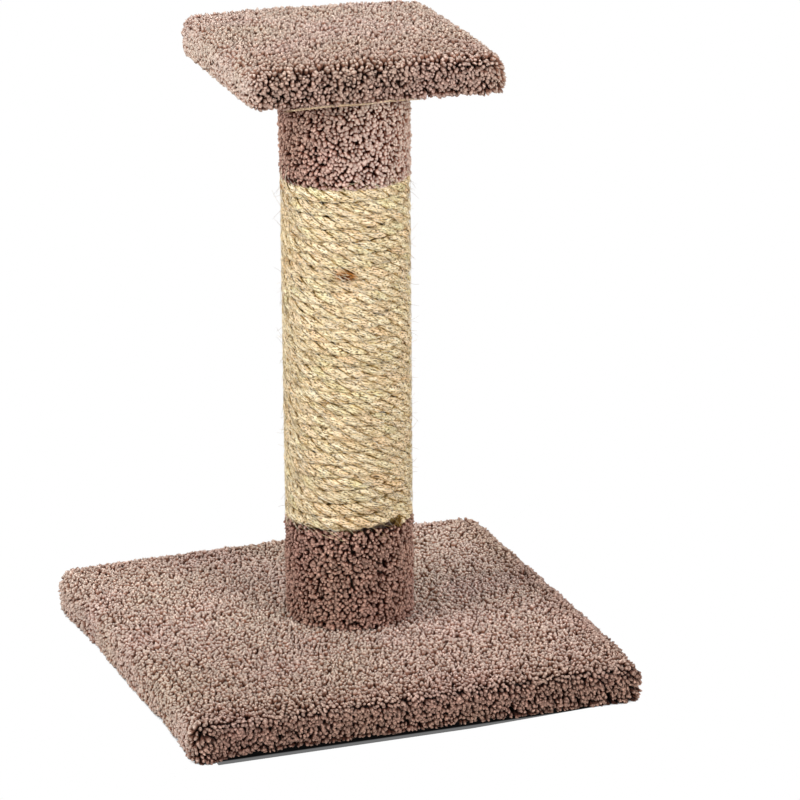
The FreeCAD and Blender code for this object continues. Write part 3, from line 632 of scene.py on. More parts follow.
def collar_pile(name, low, high, seed, dirt, notch=None):
    """The pile of a collar: rows up the strip, parted at the seam.

    The shade argument gives the painted shade of the pile all round, how much more it has on its darker side,
    and that side's angle. notch is the angle, top, half width and depth of a place without tufts.
    """
    rng = np.random.default_rng(seed)
    spots = lattice(COLLAR_RADIUS * TURN, high - low - 2.2 * MM, SIDE_GAP, rng)
    angle = spots[:, 0] / COLLAR_RADIUS + SEAM_ANGLE
    z = spots[:, 1] + low + 1.1 * MM
    edge = smooth(high - 4 * MM, high, z) + smooth(low + 3 * MM, low, z)
    splay = 0.22 * (smooth(high - 6 * MM, high, z) - smooth(low + 6 * MM, low, z))
    anchors = on_post(TUBE_RADIUS, angle, z)
    ways = unit(xyz(np.cos(angle), np.sin(angle), splay))
    reach = COLLAR_RADIUS - TUBE_RADIUS - 1.8 * MM * edge
    level, more, toward = dirt
    dirt = level + more * np.cos(angle - toward).clip(0, 1) ** 2
    seam = [tuple(on_post(COLLAR_RADIUS, SEAM_ANGLE, end)) for end in (low, high)]
    if notch:
        notch_angle, notch_top, notch_half, notch_deep = notch
        off = (angle - notch_angle + math.pi) % TURN - math.pi
        left = (off * COLLAR_RADIUS / notch_half) ** 2 + ((notch_top - z) / notch_deep) ** 2 > 1
        anchors, ways, reach, dirt = anchors[left], ways[left], reach[left], dirt[left]
    return grow(f"{name}_pile", anchors, ways, reach, rng, fat=1.15, clump=0.72, loose=0.42 * MM,
                ragged=0.45 * MM, worn=0.05, seed=seed, partings=[(*seam, 2.6 * MM, 1.0 * MM)], dirt=dirt,
                floor=low + 0.1 * MM, ceiling=high + 0.6 * MM)


# ---------------------------------------------------------------- rope

def rope_line(tau):
    """Angle, height and radius of the rope's middle after tau turns.

    The first turn lies level on the collar and climbs over its own end just before it comes round,
    and the turns above follow it less and less. The last turn lies level under the upper collar alike.
    """
    low = LOWER_COLLAR[1] + 3.0 * MM
    high = UPPER_COLLAR[0] - 4.2 * MM
    pitch = (high - low) / ROPE_TURNS
    part = tau - np.floor(tau)
    left = ROPE_TURNS - tau
    part_left = left - np.floor(left)
    held_low = np.exp(-tau / 3.5) * (part - part ** 9)
    held_high = np.exp(-left / 3.5) * (part_left - part_left ** 9)
    wobble = 0.30 * MM * np.sin(TURN * part * 2 + 0.55 * tau)
    wobble = wobble + 0.24 * MM * np.sin(TURN * part * 3 - 0.9 * tau)
    free = np.clip(np.minimum(tau, left), 0, 1)
    height = low + pitch * (tau - held_low + held_high) + wobble * free
    radius = ROPE_CENTRE + 0.25 * MM * np.sin(3.1 * tau) + 0.22 * MM * np.sin(TURN * part * 5 + 1.7 * tau)
    return ROPE_START + TURN * tau, height, radius


def rope_frame(tau):
    """Middle, forward way, outward way and upward way along the rope."""
    angle, height, radius = rope_line(tau)
    outward = xyz(np.cos(angle), np.sin(angle), 0.0)
    middle = on_post(radius, angle, height)
    forward = unit(np.gradient(middle, axis=0))
    upward = unit(np.cross(forward, -outward))
    upward *= np.sign(upward[:, 2:])
    return middle, forward, outward, upward


def groove_angle(along, number):
    """Angle round the section of the groove before a strand: 0 is up, a quarter turn is outward."""
    lay = TURN * along / ROPE_LAY + 0.55 * np.sin(along / 0.11) + 0.4 * np.sin(along / 0.047)
    which = number % 3
    wander = 0.13 * np.sin(along / 0.0127 + 2.1 * which) + 0.10 * np.sin(along / 0.0069 + 4.4 * which)
    return lay + wander + (number - 0.5) * TURN / 3


def strand_reach(along, index, angle, share, fibre_angle, rng):
    """How far a strand's skin lies from the rope's middle at each angle round the section.

    The section is pressed nearly square, the strand's back is rounded, and its fibres are rough.
    """
    lobe = share * TURN / 6
    back = STRAND_OFFSET * np.cos(lobe)
    back = back + np.sqrt(STRAND_RADIUS ** 2 - (STRAND_OFFSET * np.sin(lobe)) ** 2)
    back = back / (STRAND_OFFSET + STRAND_RADIUS)
    deep = 0.88 + 0.22 * np.sin(along / 0.0093 + 1.7 * index) * np.sin(along / 0.031 + index)
    back = 1 - (1 - back) * deep[:, None]
    pressed = 1 + 0.22 * np.sin(along / 0.0137) * np.sin(along / 0.049 + 1.0)
    square = (ROPE_SQUARENESS * pressed)[:, None]
    tall = ROPE_HALF_HEIGHT * (1 + 0.035 * np.sin(along / 0.0171) + 0.03 * np.sin(along / 0.0079 + 2.0))
    flattened = np.abs(np.cos(angle) / tall[:, None]) ** square
    flattened = flattened + np.abs(np.sin(angle) / ROPE_HALF_DEPTH) ** square
    fat = 1 + 0.04 * np.sin(along / 0.021 + index) + 0.035 * np.sin(along / 0.0083 + 2.1 * index)
    relief = np.zeros(angle.shape)
    for _ in range(STRAND_RIDGE_SETS):
        ridges = rng.integers(*STRAND_RIDGES)
        rate = rng.normal(scale=1 / 0.006)
        phase = rng.uniform(0, TURN)
        relief += np.sin(ridges * fibre_angle + rate * along[:, None] + phase)
    relief *= STRAND_RELIEF
    return flattened ** (-1 / square) * back * fat[:, None] + relief


def strand_faces(steps):
    """Corners, face sizes and bake map of a strand with so many steps and a cap at each end."""
    sides = STRAND_BACK + 1
    step, side = np.meshgrid(np.arange(steps), np.arange(sides), indexing="ij")
    here, beside = step * sides, (side + 1) % sides
    quads = np.stack([here + side, here + sides + side, here + sides + beside, here + beside], -1)
    rim = np.arange(STRAND_BACK - 1)
    last = steps * sides
    caps = np.vstack([xyz(sides - 1, rim, rim + 1), xyz(last + sides - 1, last + rim + 1, last + rim)])
    corners = np.concatenate([quads.ravel(), caps.ravel()])
    sizes = np.concatenate([np.full(steps * sides, 4), np.full(len(caps), 3)])

    per_row = math.ceil(steps / BAKE_ROWS)
    row, column = step // per_row, step % per_row
    u0, u1 = column / per_row, (column + 1) / per_row
    v0, v1 = ((row + 0.05 + 0.9 * edge / sides) / (BAKE_ROWS + 2) for edge in (side, side + 1))
    uv_quads = np.stack([u0, v0, u1, v0, u1, v1, u0, v1], -1).reshape(-1, 2)
    cap_u = (np.arange(len(caps))[:, None] + np.array([0.5, 0.1, 0.9])) / len(caps)
    cap_v = (BAKE_ROWS + 1 + np.array([0.9, 0.1, 0.1]))[None].repeat(len(caps), 0) / (BAKE_ROWS + 2)
    uv = np.vstack([uv_quads, np.stack([cap_u, cap_v], -1).reshape(-1, 2)])
    return corners, sizes, uv


def strand(index, material, seed):
    """One of the rope's three strands: a wedge of the section with a rounded back of rough fibres."""
    rng = np.random.default_rng(seed)
    length = ROPE_TURNS * TURN * ROPE_CENTRE
    steps = int(length / STRAND_STEP)
    tau = np.linspace(0, ROPE_TURNS, steps + 1)
    along = tau / ROPE_TURNS * length
    middle, _, outward, upward = rope_frame(tau)
    before, after = groove_angle(along, index), groove_angle(along, index + 1)
    share = np.linspace(-1, 1, STRAND_BACK)[None]
    angle = (before + after)[:, None] / 2 + STRAND_FILL * share * (after - before)[:, None] / 2
    fibre_angle = angle - STRAND_FIBRE_TURN * (before + after)[:, None] / 2
    radius = strand_reach(along, index, angle, share, fibre_angle, rng)
    skin = middle[:, None] + radius[..., None] * (
        np.cos(angle)[..., None] * upward[:, None] + np.sin(angle)[..., None] * outward[:, None])
    turn = ((before + after) / 2)[:, None]
    core = middle + STRAND_CORE * (np.cos(turn) * upward + np.sin(turn) * outward)
    points = np.concatenate([skin, core[:, None]], 1)

    # Painted shade in the grooves: darker where the skin lies deep between the turns and at a strand's edges
    # where they close up, and darkest at the core.
    out = np.hypot(points[..., 0] - POST_X, points[..., 1] - POST_Y)
    shown = smooth(ROPE_CENTRE + GROOVE_SHADE[0], ROPE_CENTRE + GROOVE_SHADE[1], out)
    shut = smooth(-0.5, 0.3, np.sin(along / 0.0031 + 3 * index) * np.sin(along / 0.0113))
    shown[:, :-1] *= 1 - shut[:, None] * np.abs(share) ** 4.4
    shown[:, -1] = 0
    around = np.concatenate([fibre_angle, fibre_angle[:, :1]], 1)

    corners, sizes, uv = strand_faces(steps)
    obj = new_mesh(f"sisal_strand_{index + 1}", points.reshape(-1, 3), corners, sizes, uv, shown=shown,
                   along=np.repeat(along[:, None], STRAND_BACK + 1, 1) + 20.0 * index,
                   around=np.cos(around), around_more=np.sin(around), stain=stains(points))
    return dress(obj, material)


def stains(points):
    """Where the rope has its few brown stretches: 1 in the middle of each."""
    total = np.zeros(points.shape[:-1])
    turn = np.arctan2(points[..., 1] - POST_Y, points[..., 0] - POST_X)
    for angle, height, wide, tall, strength in ROPE_STAINS:
        off = (turn - math.radians(angle) + math.pi) % TURN - math.pi
        total += strength * np.exp(-(off * ROPE_CENTRE / wide) ** 2 - ((points[..., 2] - height) / tall) ** 2)
    return total.clip(0, 1)


def fibre_tubes(name, paths, radii, material):
    """Hairs: each path of points becomes a thin three-sided tube that narrows to its tip."""
    count, knots, _ = paths.shape
    sides = 3
    forward = unit(np.gradient(paths, axis=1))
    across = unit(np.cross(forward, UP + 0.013))
    other = np.cross(forward, across)
    wide = (radii[:, None] * np.linspace(1, 0.45, knots))[..., None]
    points = np.stack([paths + wide * (math.cos(a) * across + math.sin(a) * other)
                       for a in np.arange(sides) / sides * TURN], 2)
    faces, places = wall(knots, sides)
    faces += [(2, 1, 0), tuple(range((knots - 1) * sides, knots * sides))]
    for u in range(2):
        places += [(u + 0.1, knots), (u + 0.9, knots), (u + 0.5, knots + 0.8)]
    tone = np.repeat(np.random.default_rng(5).uniform(0, 1, count), knots * sides)
    obj = copies(name, points.reshape(count, -1, 3), faces, places, (sides, knots + 1.0), tone=tone)
    return dress(obj, material)


def loose_fibres(name, count, seed, lift, length, radius, knots, material):
    """Hairs that have come out of the rope: they start on it and curl up to lift away from it."""
    rng = np.random.default_rng(seed)
    tau = np.sort(rng.uniform(0.1, ROPE_TURNS - 0.1, count))
    angle, height, line_radius = rope_line(tau)
    level = rng.uniform(-0.75, 0.75, count)
    out = line_radius + ROPE_HALF_DEPTH * (1 - np.abs(level) ** 2.6) ** (1 / 2.6) * 0.98
    start = on_post(out, angle, height + level * ROPE_HALF_HEIGHT)
    tangent = xyz(-np.sin(angle), np.cos(angle), 0.0)
    way = rng.choice([-1.0, 1.0], count) * rng.uniform(0.45, 1, count)
    rise = -way * rng.uniform(0.1, 0.8, count) + rng.normal(scale=0.25, size=count)
    reach = rng.uniform(*length, count)
    away = rng.uniform(*lift, count)
    curl = rng.normal(scale=0.3, size=count)
    t = np.linspace(0, 1, knots)[None, :, None]
    path = start[:, None] + tangent[:, None] * (way * reach)[:, None, None] * t
    path = path + UP * (reach * rise)[:, None, None] * t + UP * (reach * curl)[:, None, None] * t ** 2
    axis = np.array([POST_X, POST_Y])
    flat = path[..., :2] - axis
    crown = np.minimum(out[:, None] + 1.2 * MM * t[..., 0], ROPE_CENTRE + ROPE_HALF_DEPTH)
    wanted = crown + away[:, None] * t[..., 0] ** 1.5 + 0.12 * MM
    flat *= (wanted / np.linalg.norm(flat, axis=2))[..., None]
    path[..., :2] = flat + axis
    path[..., 2] = np.clip(path[..., 2], LOWER_COLLAR[1] - 6 * MM, UPPER_COLLAR[0] + 6 * MM)
    return fibre_tubes(name, path, rng.uniform(*radius, count), material)


def collar_hairs(material):
    """The few long hairs that lie over the collars."""
    rng = np.random.default_rng(212)
    t = np.linspace(0, 1, 9)
    paths = []
    for angle0, height0, angle1, height1 in COLLAR_HAIRS:
        angle = np.radians(angle0 + (angle1 - angle0) * t)
        height = height0 + (height1 - height0) * t + rng.normal(scale=0.9 * MM) * np.sin(math.pi * t)
        out = COLLAR_RADIUS + 0.4 * MM + 1.6 * MM * np.sin(math.pi * t)
        paths.append(on_post(out, angle, height))
    return fibre_tubes("sisal_hairs_on_collars", np.array(paths), np.full(len(paths), 0.22 * MM), material)


def hem_yarn(square, material):
    """Pale yarn of the folded backing that shows under the square's front edge, before the post."""
    rng = np.random.default_rng(214)
    count = 60
    t = np.linspace(0, 1, 9)
    start = POST_X - square.middle[0] + rng.uniform(-80, 12, count) * MM
    length = rng.uniform(12, 32, count) * MM
    along = start[:, None] + length[:, None] * t
    out = -(square.half + 0.70 * square.side) + rng.normal(scale=0.5 * MM, size=(count, 1))
    out = out + 0.35 * MM * np.sin(along / (6 * MM))
    z = square.low - square.below - 0.2 * MM + rng.normal(scale=0.4 * MM, size=(count, 1))
    path = np.stack([along, out, z + 0.3 * MM * np.sin(along / (9 * MM))], 2)
    path = square.placed(path.reshape(-1, 3)).reshape(count, -1, 3)
    return fibre_tubes(f"{square.name}_hem_yarn", path, np.full(count, 0.24 * MM), material)


def frayed_end(material):
    """The brush of fibres at the rope's lower cut end."""
    rng = np.random.default_rng(213)
    count = 130
    middle, forward, outward, upward = (values[0] for values in rope_frame(np.linspace(0, 0.01, 4)))
    turn = rng.uniform(0, TURN, count)
    off = np.sqrt(rng.uniform(0, 1, count)) * 4.2 * MM
    start = middle + 0.8 * MM * forward
    start = start + (off * np.cos(turn))[:, None] * upward + (off * np.sin(turn))[:, None] * outward
    splay = start - middle
    reach = rng.uniform(3.0, 8.0, count) * MM
    t = np.linspace(0, 1, 6)[None, :, None]
    path = start[:, None] - forward * reach[:, None, None] * t
    path = path + splay[:, None] * rng.uniform(0.0, 0.8, count)[:, None, None] * t ** 2
    path = path - UP * (rng.uniform(0, 2.2, count) * MM)[:, None, None] * t ** 2
    return fibre_tubes("sisal_frayed_end", path, rng.uniform(0.16, 0.3, count) * MM, material)


# ---------------------------------------------------------------- materials

def srgb(red, green, blue):
    """A colour written as 0-255 screen values, as Blender's linear colour."""
    def line(value):
        value /= 255
        return value / 12.92 if value <= 0.04045 else ((value + 0.055) / 1.055) ** 2.4
    return line(red), line(green), line(blue), 1.0


class Nodes:
    """A node tree, with short ways to add and join its nodes."""

    def __init__(self, tree):
        self.tree = tree

    def link(self, source, target):
        self.tree.links.new(source, target)

    def add(self, kind, output, inputs=None, **settings):
        """Adds a node, sets or links the inputs given by name or number, and gives one output."""
        made = self.tree.nodes.new(kind)
        for key, value in settings.items():
            setattr(made, key, value)
        for key, value in (inputs or {}).items():
            if isinstance(value, bpy.types.NodeSocket):
                self.link(value, made.inputs[key])
            else:
                made.inputs[key].default_value = value
        return made.outputs[output]

    def math(self, operation, first, second=0.0):
        return self.add("ShaderNodeMath", 0, {0: first, 1: second}, operation=operation)

    def seen_directly(self):
        """1 for rays from the camera, and for rays that reach it by gloss or through glass."""
        path = self.add("ShaderNodeLightPath", 0).node.outputs
        first = self.math("MAXIMUM", path["Is Camera Ray"], path["Is Glossy Ray"])
        return self.math("MAXIMUM", first, path["Is Transmission Ray"])

    def mix_shaders(self, factor, first, second, output):
        """Ends the tree in a mix of two shaders."""
        mixed = self.add("ShaderNodeMixShader", 0, {0: factor, 1: first, 2: second})
        self.link(mixed, self.tree.nodes[output].inputs[0])


class Paint(Nodes):
    """A material's node tree."""

    def __init__(self, name):
        self.material = bpy.data.materials.new(name)
        self.material.use_nodes = True
        super().__init__(self.material.node_tree)
        self.shader = self.tree.nodes["Principled BSDF"]

    def attribute(self, name):
        return self.add("ShaderNodeAttribute", "Fac", attribute_name=name)

    def place(self):
        return self.add("ShaderNodeTexCoord", "Object")

    def noise(self, vector, scale, detail=3.0, roughness=0.5):
        return self.add("ShaderNodeTexNoise", "Fac",
                        {"Vector": vector, "Scale": scale, "Detail": detail, "Roughness": roughness})

    def bands(self, scale, distortion, **settings):
        return self.add("ShaderNodeTexWave", "Fac",
                        {"Vector": self.place(), "Scale": scale, "Distortion": distortion}, **settings)

    def ramp(self, value, *stops):
        colour = self.add("ShaderNodeValToRGB", "Color", {"Fac": value})
        points = colour.node.color_ramp.elements
        while len(points) < len(stops):
            points.new(0.5)
        for point, (position, shade) in zip(points, stops):
            point.position = position
            point.color = shade
        return colour

    def mix(self, kind, factor, first, second):
        return self.add("ShaderNodeMix", 2, {0: factor, 6: first, 7: second},
                        data_type="RGBA", blend_type=kind)

    def multiplied(self, *colours):
        """The product of several colours."""
        product, *others = colours
        for other in others:
            product = self.mix("MULTIPLY", 1.0, product, other)
        return product

    def combine(self, x, y, z):
        return self.add("ShaderNodeCombineXYZ", 0, {0: x, 1: y, 2: z})

    def bump(self, height, strength, distance):
        normal = self.add("ShaderNodeBump", "Normal",
                          {"Height": height, "Strength": strength, "Distance": distance})
        self.link(normal, self.shader.inputs["Normal"])

    def colour(self, source):
        self.link(source, self.shader.inputs["Base Color"])

    def finish(self, roughness, **inputs):
        """Sets the shader's roughness and other numbers, and gives the material."""
        self.shader.inputs["Roughness"].default_value = roughness
        for key, value in inputs.items():
            self.shader.inputs[key.replace("_", " ")].default_value = value
        return self.material


def grey(level):
    """A colour without a hue."""
    return (level, level, level, 1.0)


def pile_material(name, unshaded, dirty):
    """Cut yarn with painted shade and highlight: dark at the root, light at the tip, with tufts that differ
    and fine fibres.

    The first set of colours is for pile without the painted shade of the sides, and the second is for pile
    with all of it. Each holds the colour of the tips, the bodies and the roots.
    """
    paint = Paint(name)
    height, dirt = paint.attribute("height"), paint.attribute("dirt")
    # Along each tuft the colour is painted shade and highlight: dark roots and sides, and a pale middle to
    # its end.
    unshaded_ramp, shaded_ramp = (paint.ramp(height, (0.0, root), (rooted, root), (0.68, body), (1.0, tip))
                     for rooted, (tip, body, root) in ((0.36, unshaded), (0.40, dirty)))
    shade = paint.ramp(paint.attribute("tone"), (0.0, grey(0.66)), (0.5, grey(0.88)), (1.0, grey(1.0)))
    wide = paint.noise(paint.place(), 16.0, 2.0)
    cast = paint.ramp(wide, (0.3, srgb(250, 250, 242)), (0.7, srgb(255, 248, 248)))
    fine = paint.noise(paint.place(), 1500.0, 2.0, 0.6)
    speck = paint.ramp(fine, (0.3, grey(0.78)), (0.7, grey(1.0)))
    # Mixed towards the darker set by the painted shade attribute.
    specked = paint.multiplied(paint.mix("MIX", dirt, unshaded_ramp, shaded_ramp), shade, cast, speck)
    # Dark flecks, which show more where more shade is painted.
    plies = paint.ramp(paint.noise(paint.place(), 640.0, 2.0, 0.6), (0.38, grey(0.40)), (0.58, grey(1.0)))
    paint.colour(paint.mix("MULTIPLY", paint.math("MAXIMUM", dirt, 0.25), specked, plies))
    paint.bump(fine, 0.6, 0.0004)
    return paint.finish(0.92, Sheen_Weight=0.05, Sheen_Roughness=0.5, Specular_IOR_Level=0.12)


def backing_material():
    """The carpet's woven backing."""
    paint = Paint("carpet_backing")
    weave = paint.math("MULTIPLY", *(paint.bands(260.0, 1.5, wave_type="BANDS", bands_direction=way)
                                     for way in "XY"))
    paint.colour(paint.ramp(weave, (0.0, srgb(58, 42, 34)), (0.6, srgb(104, 84, 70))))
    paint.bump(weave, 0.5, 0.0006)
    return paint.finish(0.95)


def sisal_material():
    """Sisal: pale fibres along each strand, painted shade in its thin grooves, and a few brown stretches."""
    paint = Paint("sisal")
    along = paint.attribute("along")
    around, around_more = paint.attribute("around"), paint.attribute("around_more")

    def streaks(lengthwise, crosswise, detail):
        place = paint.combine(paint.math("MULTIPLY", along, lengthwise),
                              paint.math("MULTIPLY", around, crosswise),
                              paint.math("MULTIPLY", around_more, crosswise))
        return paint.noise(place, 1.0, detail, 0.6)

    broad = streaks(90.0, 3.0, 3.0)
    fine = streaks(230.0, 6.5, 3.0)
    short = streaks(430.0, 5.0, 2.0)
    pale = paint.ramp(broad, (0.28, srgb(240, 218, 170)), (0.46, srgb(255, 242, 208)),
                      (0.62, srgb(255, 247, 221)), (0.78, srgb(255, 252, 238)))
    threads = paint.ramp(fine, (0.31, srgb(120, 90, 44)), (0.43, srgb(218, 198, 158)), (0.53, grey(1.0)))
    specks = paint.ramp(short, (0.37, srgb(58, 38, 14)), (0.43, srgb(180, 154, 108)), (0.48, grey(1.0)))
    body = paint.mix("MULTIPLY", 0.78, pale, threads)
    speckled = paint.mix("MULTIPLY", 0.92, body, specks)
    patch = paint.noise(paint.combine(paint.math("MULTIPLY", along, 26.0), 0.0, 0.0), 1.0, 2.0)
    cast = paint.ramp(patch, (0.30, srgb(244, 250, 232)), (0.46, grey(1.0)),
                      (0.60, srgb(255, 245, 243)), (0.74, srgb(255, 236, 216)))
    stain = paint.ramp(paint.attribute("stain"), (0.0, grey(1.0)), (0.5, srgb(176, 122, 60)),
                       (0.9, srgb(122, 70, 24)))
    # The shown attribute paints shade into the grooves between turns and strands.
    groove = paint.ramp(paint.attribute("shown"), (0.0, srgb(50, 32, 12)), (0.5, srgb(206, 184, 140)),
                        (0.9, grey(1.0)))
    paint.colour(paint.multiplied(speckled, cast, stain, groove))
    paint.bump(fine, 0.8, 0.0007)
    return paint.finish(0.85, Specular_IOR_Level=0.2)


def fibre_material(name, *colours):
    """Single loose fibres, which differ in colour."""
    paint = Paint(name)
    places = np.linspace(0, 1, len(colours))
    paint.colour(paint.ramp(paint.attribute("tone"), *zip(places, colours)))
    return paint.finish(0.7, Specular_IOR_Level=0.25)


def particle_board():
    """Pressed wood chips."""
    paint = Paint("particle_board")
    place = paint.place()
    chips = paint.add("ShaderNodeTexVoronoi", "Color", {"Vector": place, "Scale": 420.0}, feature="F1")
    tint = paint.ramp(chips, (0.1, srgb(128, 96, 60)), (0.5, srgb(182, 148, 102)), (0.9, srgb(206, 178, 132)))
    paint.colour(paint.mix("MULTIPLY", 0.35, tint, paint.noise(place, 900.0, 4.0)))
    paint.bump(chips.node.outputs["Distance"], 0.3, 0.0006)
    return paint.finish(0.85)


def card():
    """Spiral-wound grey-brown card."""
    paint = Paint("card_tube")
    squeezed = paint.add("ShaderNodeMapping", "Vector", {"Vector": paint.place(), "Scale": (60, 60, 700)})
    fibres = paint.noise(squeezed, 1.0, 5.0)
    paint.colour(paint.ramp(fibres, (0.3, srgb(126, 104, 78)), (0.7, srgb(170, 146, 114))))
    paint.bump(fibres, 0.2, 0.0004)
    return paint.finish(0.88)


def plug_wood():
    """End-grain softwood."""
    paint = Paint("plug_wood")
    rings = paint.bands(60.0, 3.0, wave_type="RINGS", rings_direction="Z")
    paint.colour(paint.ramp(rings, (0.0, srgb(220, 186, 132)), (0.9, srgb(176, 130, 78))))
    paint.bump(rings, 0.2, 0.0003)
    return paint.finish(0.7)


def metal(name, colour, roughness):
    """Plated steel with slight blotches."""
    paint = Paint(name)
    blotch = paint.noise(paint.place(), 500.0, 3.0)
    darker = tuple(0.72 * c for c in colour[:3]) + (1.0,)
    paint.colour(paint.ramp(blotch, (0.3, darker), (0.7, colour)))
    return paint.finish(roughness, Metallic=1.0)


# ---------------------------------------------------------------- stage

def camera():
    """The camera, placed and turned as the photograph was taken."""
    back = Vector((math.sin(CAMERA_AZIMUTH) * math.cos(CAMERA_ELEVATION),
                   -math.cos(CAMERA_AZIMUTH) * math.cos(CAMERA_ELEVATION), math.sin(CAMERA_ELEVATION)))
    right = Vector((math.cos(CAMERA_AZIMUTH), math.sin(CAMERA_AZIMUTH), 0.0))
    up = back.cross(right)
    target = Vector((POST_X, POST_Y, CAMERA_AIM_UP)) + right * CAMERA_AIM_RIGHT
    rolled_right = right * math.cos(CAMERA_ROLL) - up * math.sin(CAMERA_ROLL)
    rolled_up = right * math.sin(CAMERA_ROLL) + up * math.cos(CAMERA_ROLL)
    data = bpy.data.cameras.new("camera")
    data.sensor_width = 36.0
    data.lens = CAMERA_LENS
    data.clip_end = 50.0
    obj = add_object("camera", data)
    turn = Matrix((rolled_right, rolled_up, back)).transposed().to_4x4()
    obj.matrix_world = Matrix.Translation(target + back * CAMERA_DISTANCE) @ turn
    bpy.context.scene.camera = obj


def world(level):
    """Soft light from all round, and white where the world itself is seen."""
    studio_world = bpy.data.worlds.new("studio")
    studio_world.use_nodes = True
    nodes = Nodes(studio_world.node_tree)
    light = nodes.tree.nodes["Background"]
    light.inputs["Color"].default_value = (1.0, 0.985, 0.965, 1.0)
    light.inputs["Strength"].default_value = level
    white = nodes.add("ShaderNodeBackground", 0, {"Color": grey(1.0), "Strength": 1.0})
    nodes.mix_shaders(nodes.seen_directly(), light.outputs[0], white, "World Output")
    bpy.context.scene.world = studio_world


def floor():
    """A white table: white where it is seen, except for the contact shadow round the base.

    In front of the base the shadow is a narrow grey band that thins out to the right.
    """
    far = 6.0
    mesh = bpy.data.meshes.new("floor")
    mesh.from_pydata([(-far, -far, 0), (far, -far, 0), (far, far, 0), (-far, far, 0)], [], [(0, 1, 2, 3)])
    paint = Paint("white_table")
    paint.shader.inputs["Base Color"].default_value = grey(0.80)
    mesh.materials.append(paint.finish(0.9, Specular_IOR_Level=0.0))

    near = paint.add("ShaderNodeAmbientOcclusion", "AO", {"Distance": 0.03}, samples=8)
    contact = paint.ramp(near, (0.05, grey(0.004)), (0.22, grey(0.20)), (0.32, grey(1.0)))

    across, depth, _ = paint.add("ShaderNodeSeparateXYZ", 0, {0: paint.place()}).node.outputs
    edge = -(BASE_HALF + BASE_SIDE)
    beyond = paint.math("SUBTRACT", edge, depth)
    wide = paint.add("ShaderNodeMapRange", 0, {
        "Value": across, "From Min": FRONT_SHADOW_THINS[0], "From Max": FRONT_SHADOW_THINS[1],
        "To Min": FRONT_SHADOW, "To Max": FRONT_SHADOW_THINNEST})
    inside = paint.math("LESS_THAN", beyond, wide)
    between = paint.math("LESS_THAN", paint.math("ABSOLUTE", across), -edge - FRONT_SHADOW_STARTS)
    in_front = paint.math("GREATER_THAN", beyond, -FRONT_SHADOW_STARTS)
    band = paint.math("MULTIPLY", paint.math("MULTIPLY", inside, between), in_front)
    fade = paint.add("ShaderNodeMapRange", 0, {
        "Value": beyond, "From Min": FRONT_SHADOW_FADES[0], "From Max": FRONT_SHADOW_FADES[1]})
    shadow = paint.ramp(fade, (0.0, grey(0.004)), (1.0, grey(0.17)))
    white = paint.add("ShaderNodeEmission", 0, {"Color": paint.mix("MIX", band, contact, shadow),
                                                "Strength": 1.0})
    paint.mix_shaders(paint.seen_directly(), paint.shader.outputs[0], white, "Material Output")
    add_object("floor", mesh)


def soft_lamp(name, place, aim, size, level, spread=180.0):
    """A square soft box that lights a surface at its aim, facing it, to level times white."""
    place, aim = Vector(place), Vector(aim)
    data = bpy.data.lights.new(name, "AREA")
    data.shape = "SQUARE"
    data.size = size
    data.spread = math.radians(spread)
    focus = 1 - data.spread / 2 / math.tan(data.spread / 2)
    data.energy = level * focus * math.pi ** 2 * (place - aim).length_squared
    obj = add_object(name, data)
    obj.location = place
    obj.rotation_euler = (place - aim).to_track_quat("Z", "Y").to_euler()


# ---------------------------------------------------------------- the whole object

def base_pieces():
    """The base's square of carpet and the pieces of its pile."""
    base = CarpetSquare(
        "base", BASE_HALF, BASE_LOW.z, BASE_HIGH.z, BASE_SIDE, BASE_ABOVE + 2.6 * MM, BASE_BELOW, BASE_HEM,
        low_power=9.0, plan_power=(1.4, 1.3, 1.66, 2.6), fuller=(4.0 * MM, 6.0 * MM, 0.0, 0.0),
        swells=((0.174, -0.174, 0.032, -1.5 * MM, 6 * MM), (-0.174, -0.174, 0.015, 0.0, 8 * MM),
                (-0.174, -0.105, 0.045, -2.5 * MM, 0.0), (-0.174, 0.150, 0.042, 4.0 * MM, 0.0),
                (0.100, -0.174, 0.050, 0.0, 3.5 * MM)),
        # Painted shade: the sides turned away from the key lamp, the front and the right, are painted
        # darkest.
        dirty=(0.9, 0.5, 0.15, 1.0), crown=2.6 * MM, roll=2.4 * MM, seed=11)
    half = base.half
    post = (POST_X, POST_Y, TUBE_RADIUS + 1.5 * MM)
    quarters = {
        "top_front_left": (-half, 0.0, -half, 0.0),
        "top_front_right": (0.0, half, -half, 0.0),
        "top_back_left": (-half, 0.0, 0.0, half),
        "top_back_right": (0.0, half, 0.0, half),
    }
    base_pile = [base.plant_top(label, *sides, 100 + number, hole=post)
                 for number, (label, sides) in enumerate(quarters.items())]

    edge = BASE_HALF + 0.7 * BASE_SIDE
    edge_high = BASE_HIGH.z + 0.7 * BASE_ABOVE
    corner = BASE_HALF + 0.6 * BASE_SIDE
    upright = ((-corner, -corner, 0.0), (-corner, -corner, 0.020), 3.4 * MM, 2.6 * MM)
    partings = {
        "front": [((-0.060, -edge, edge_high), (0.142, -edge, edge_high), 3.0 * MM, 2.6 * MM, 0.7), upright],
        "left": [upright],
    }
    pits = {
        "front": [(0.121, -edge, edge_high, 3.0 * MM, 5 * MM), (0.129, -edge, edge_high, 3.4 * MM, 6 * MM),
                  (-corner, -corner, 0.010, 5.0 * MM, 7 * MM)],
        "left": [(-corner, -corner, 0.010, 5.0 * MM, 7 * MM)],
    }
    for quarter, label in enumerate(SIDES):
        base_pile.append(base.plant_side(label, quarter, 110 + quarter, partings.get(label, ()),
                                         pits.get(label, ()), floor=0.1 * MM))
    return base, base_pile


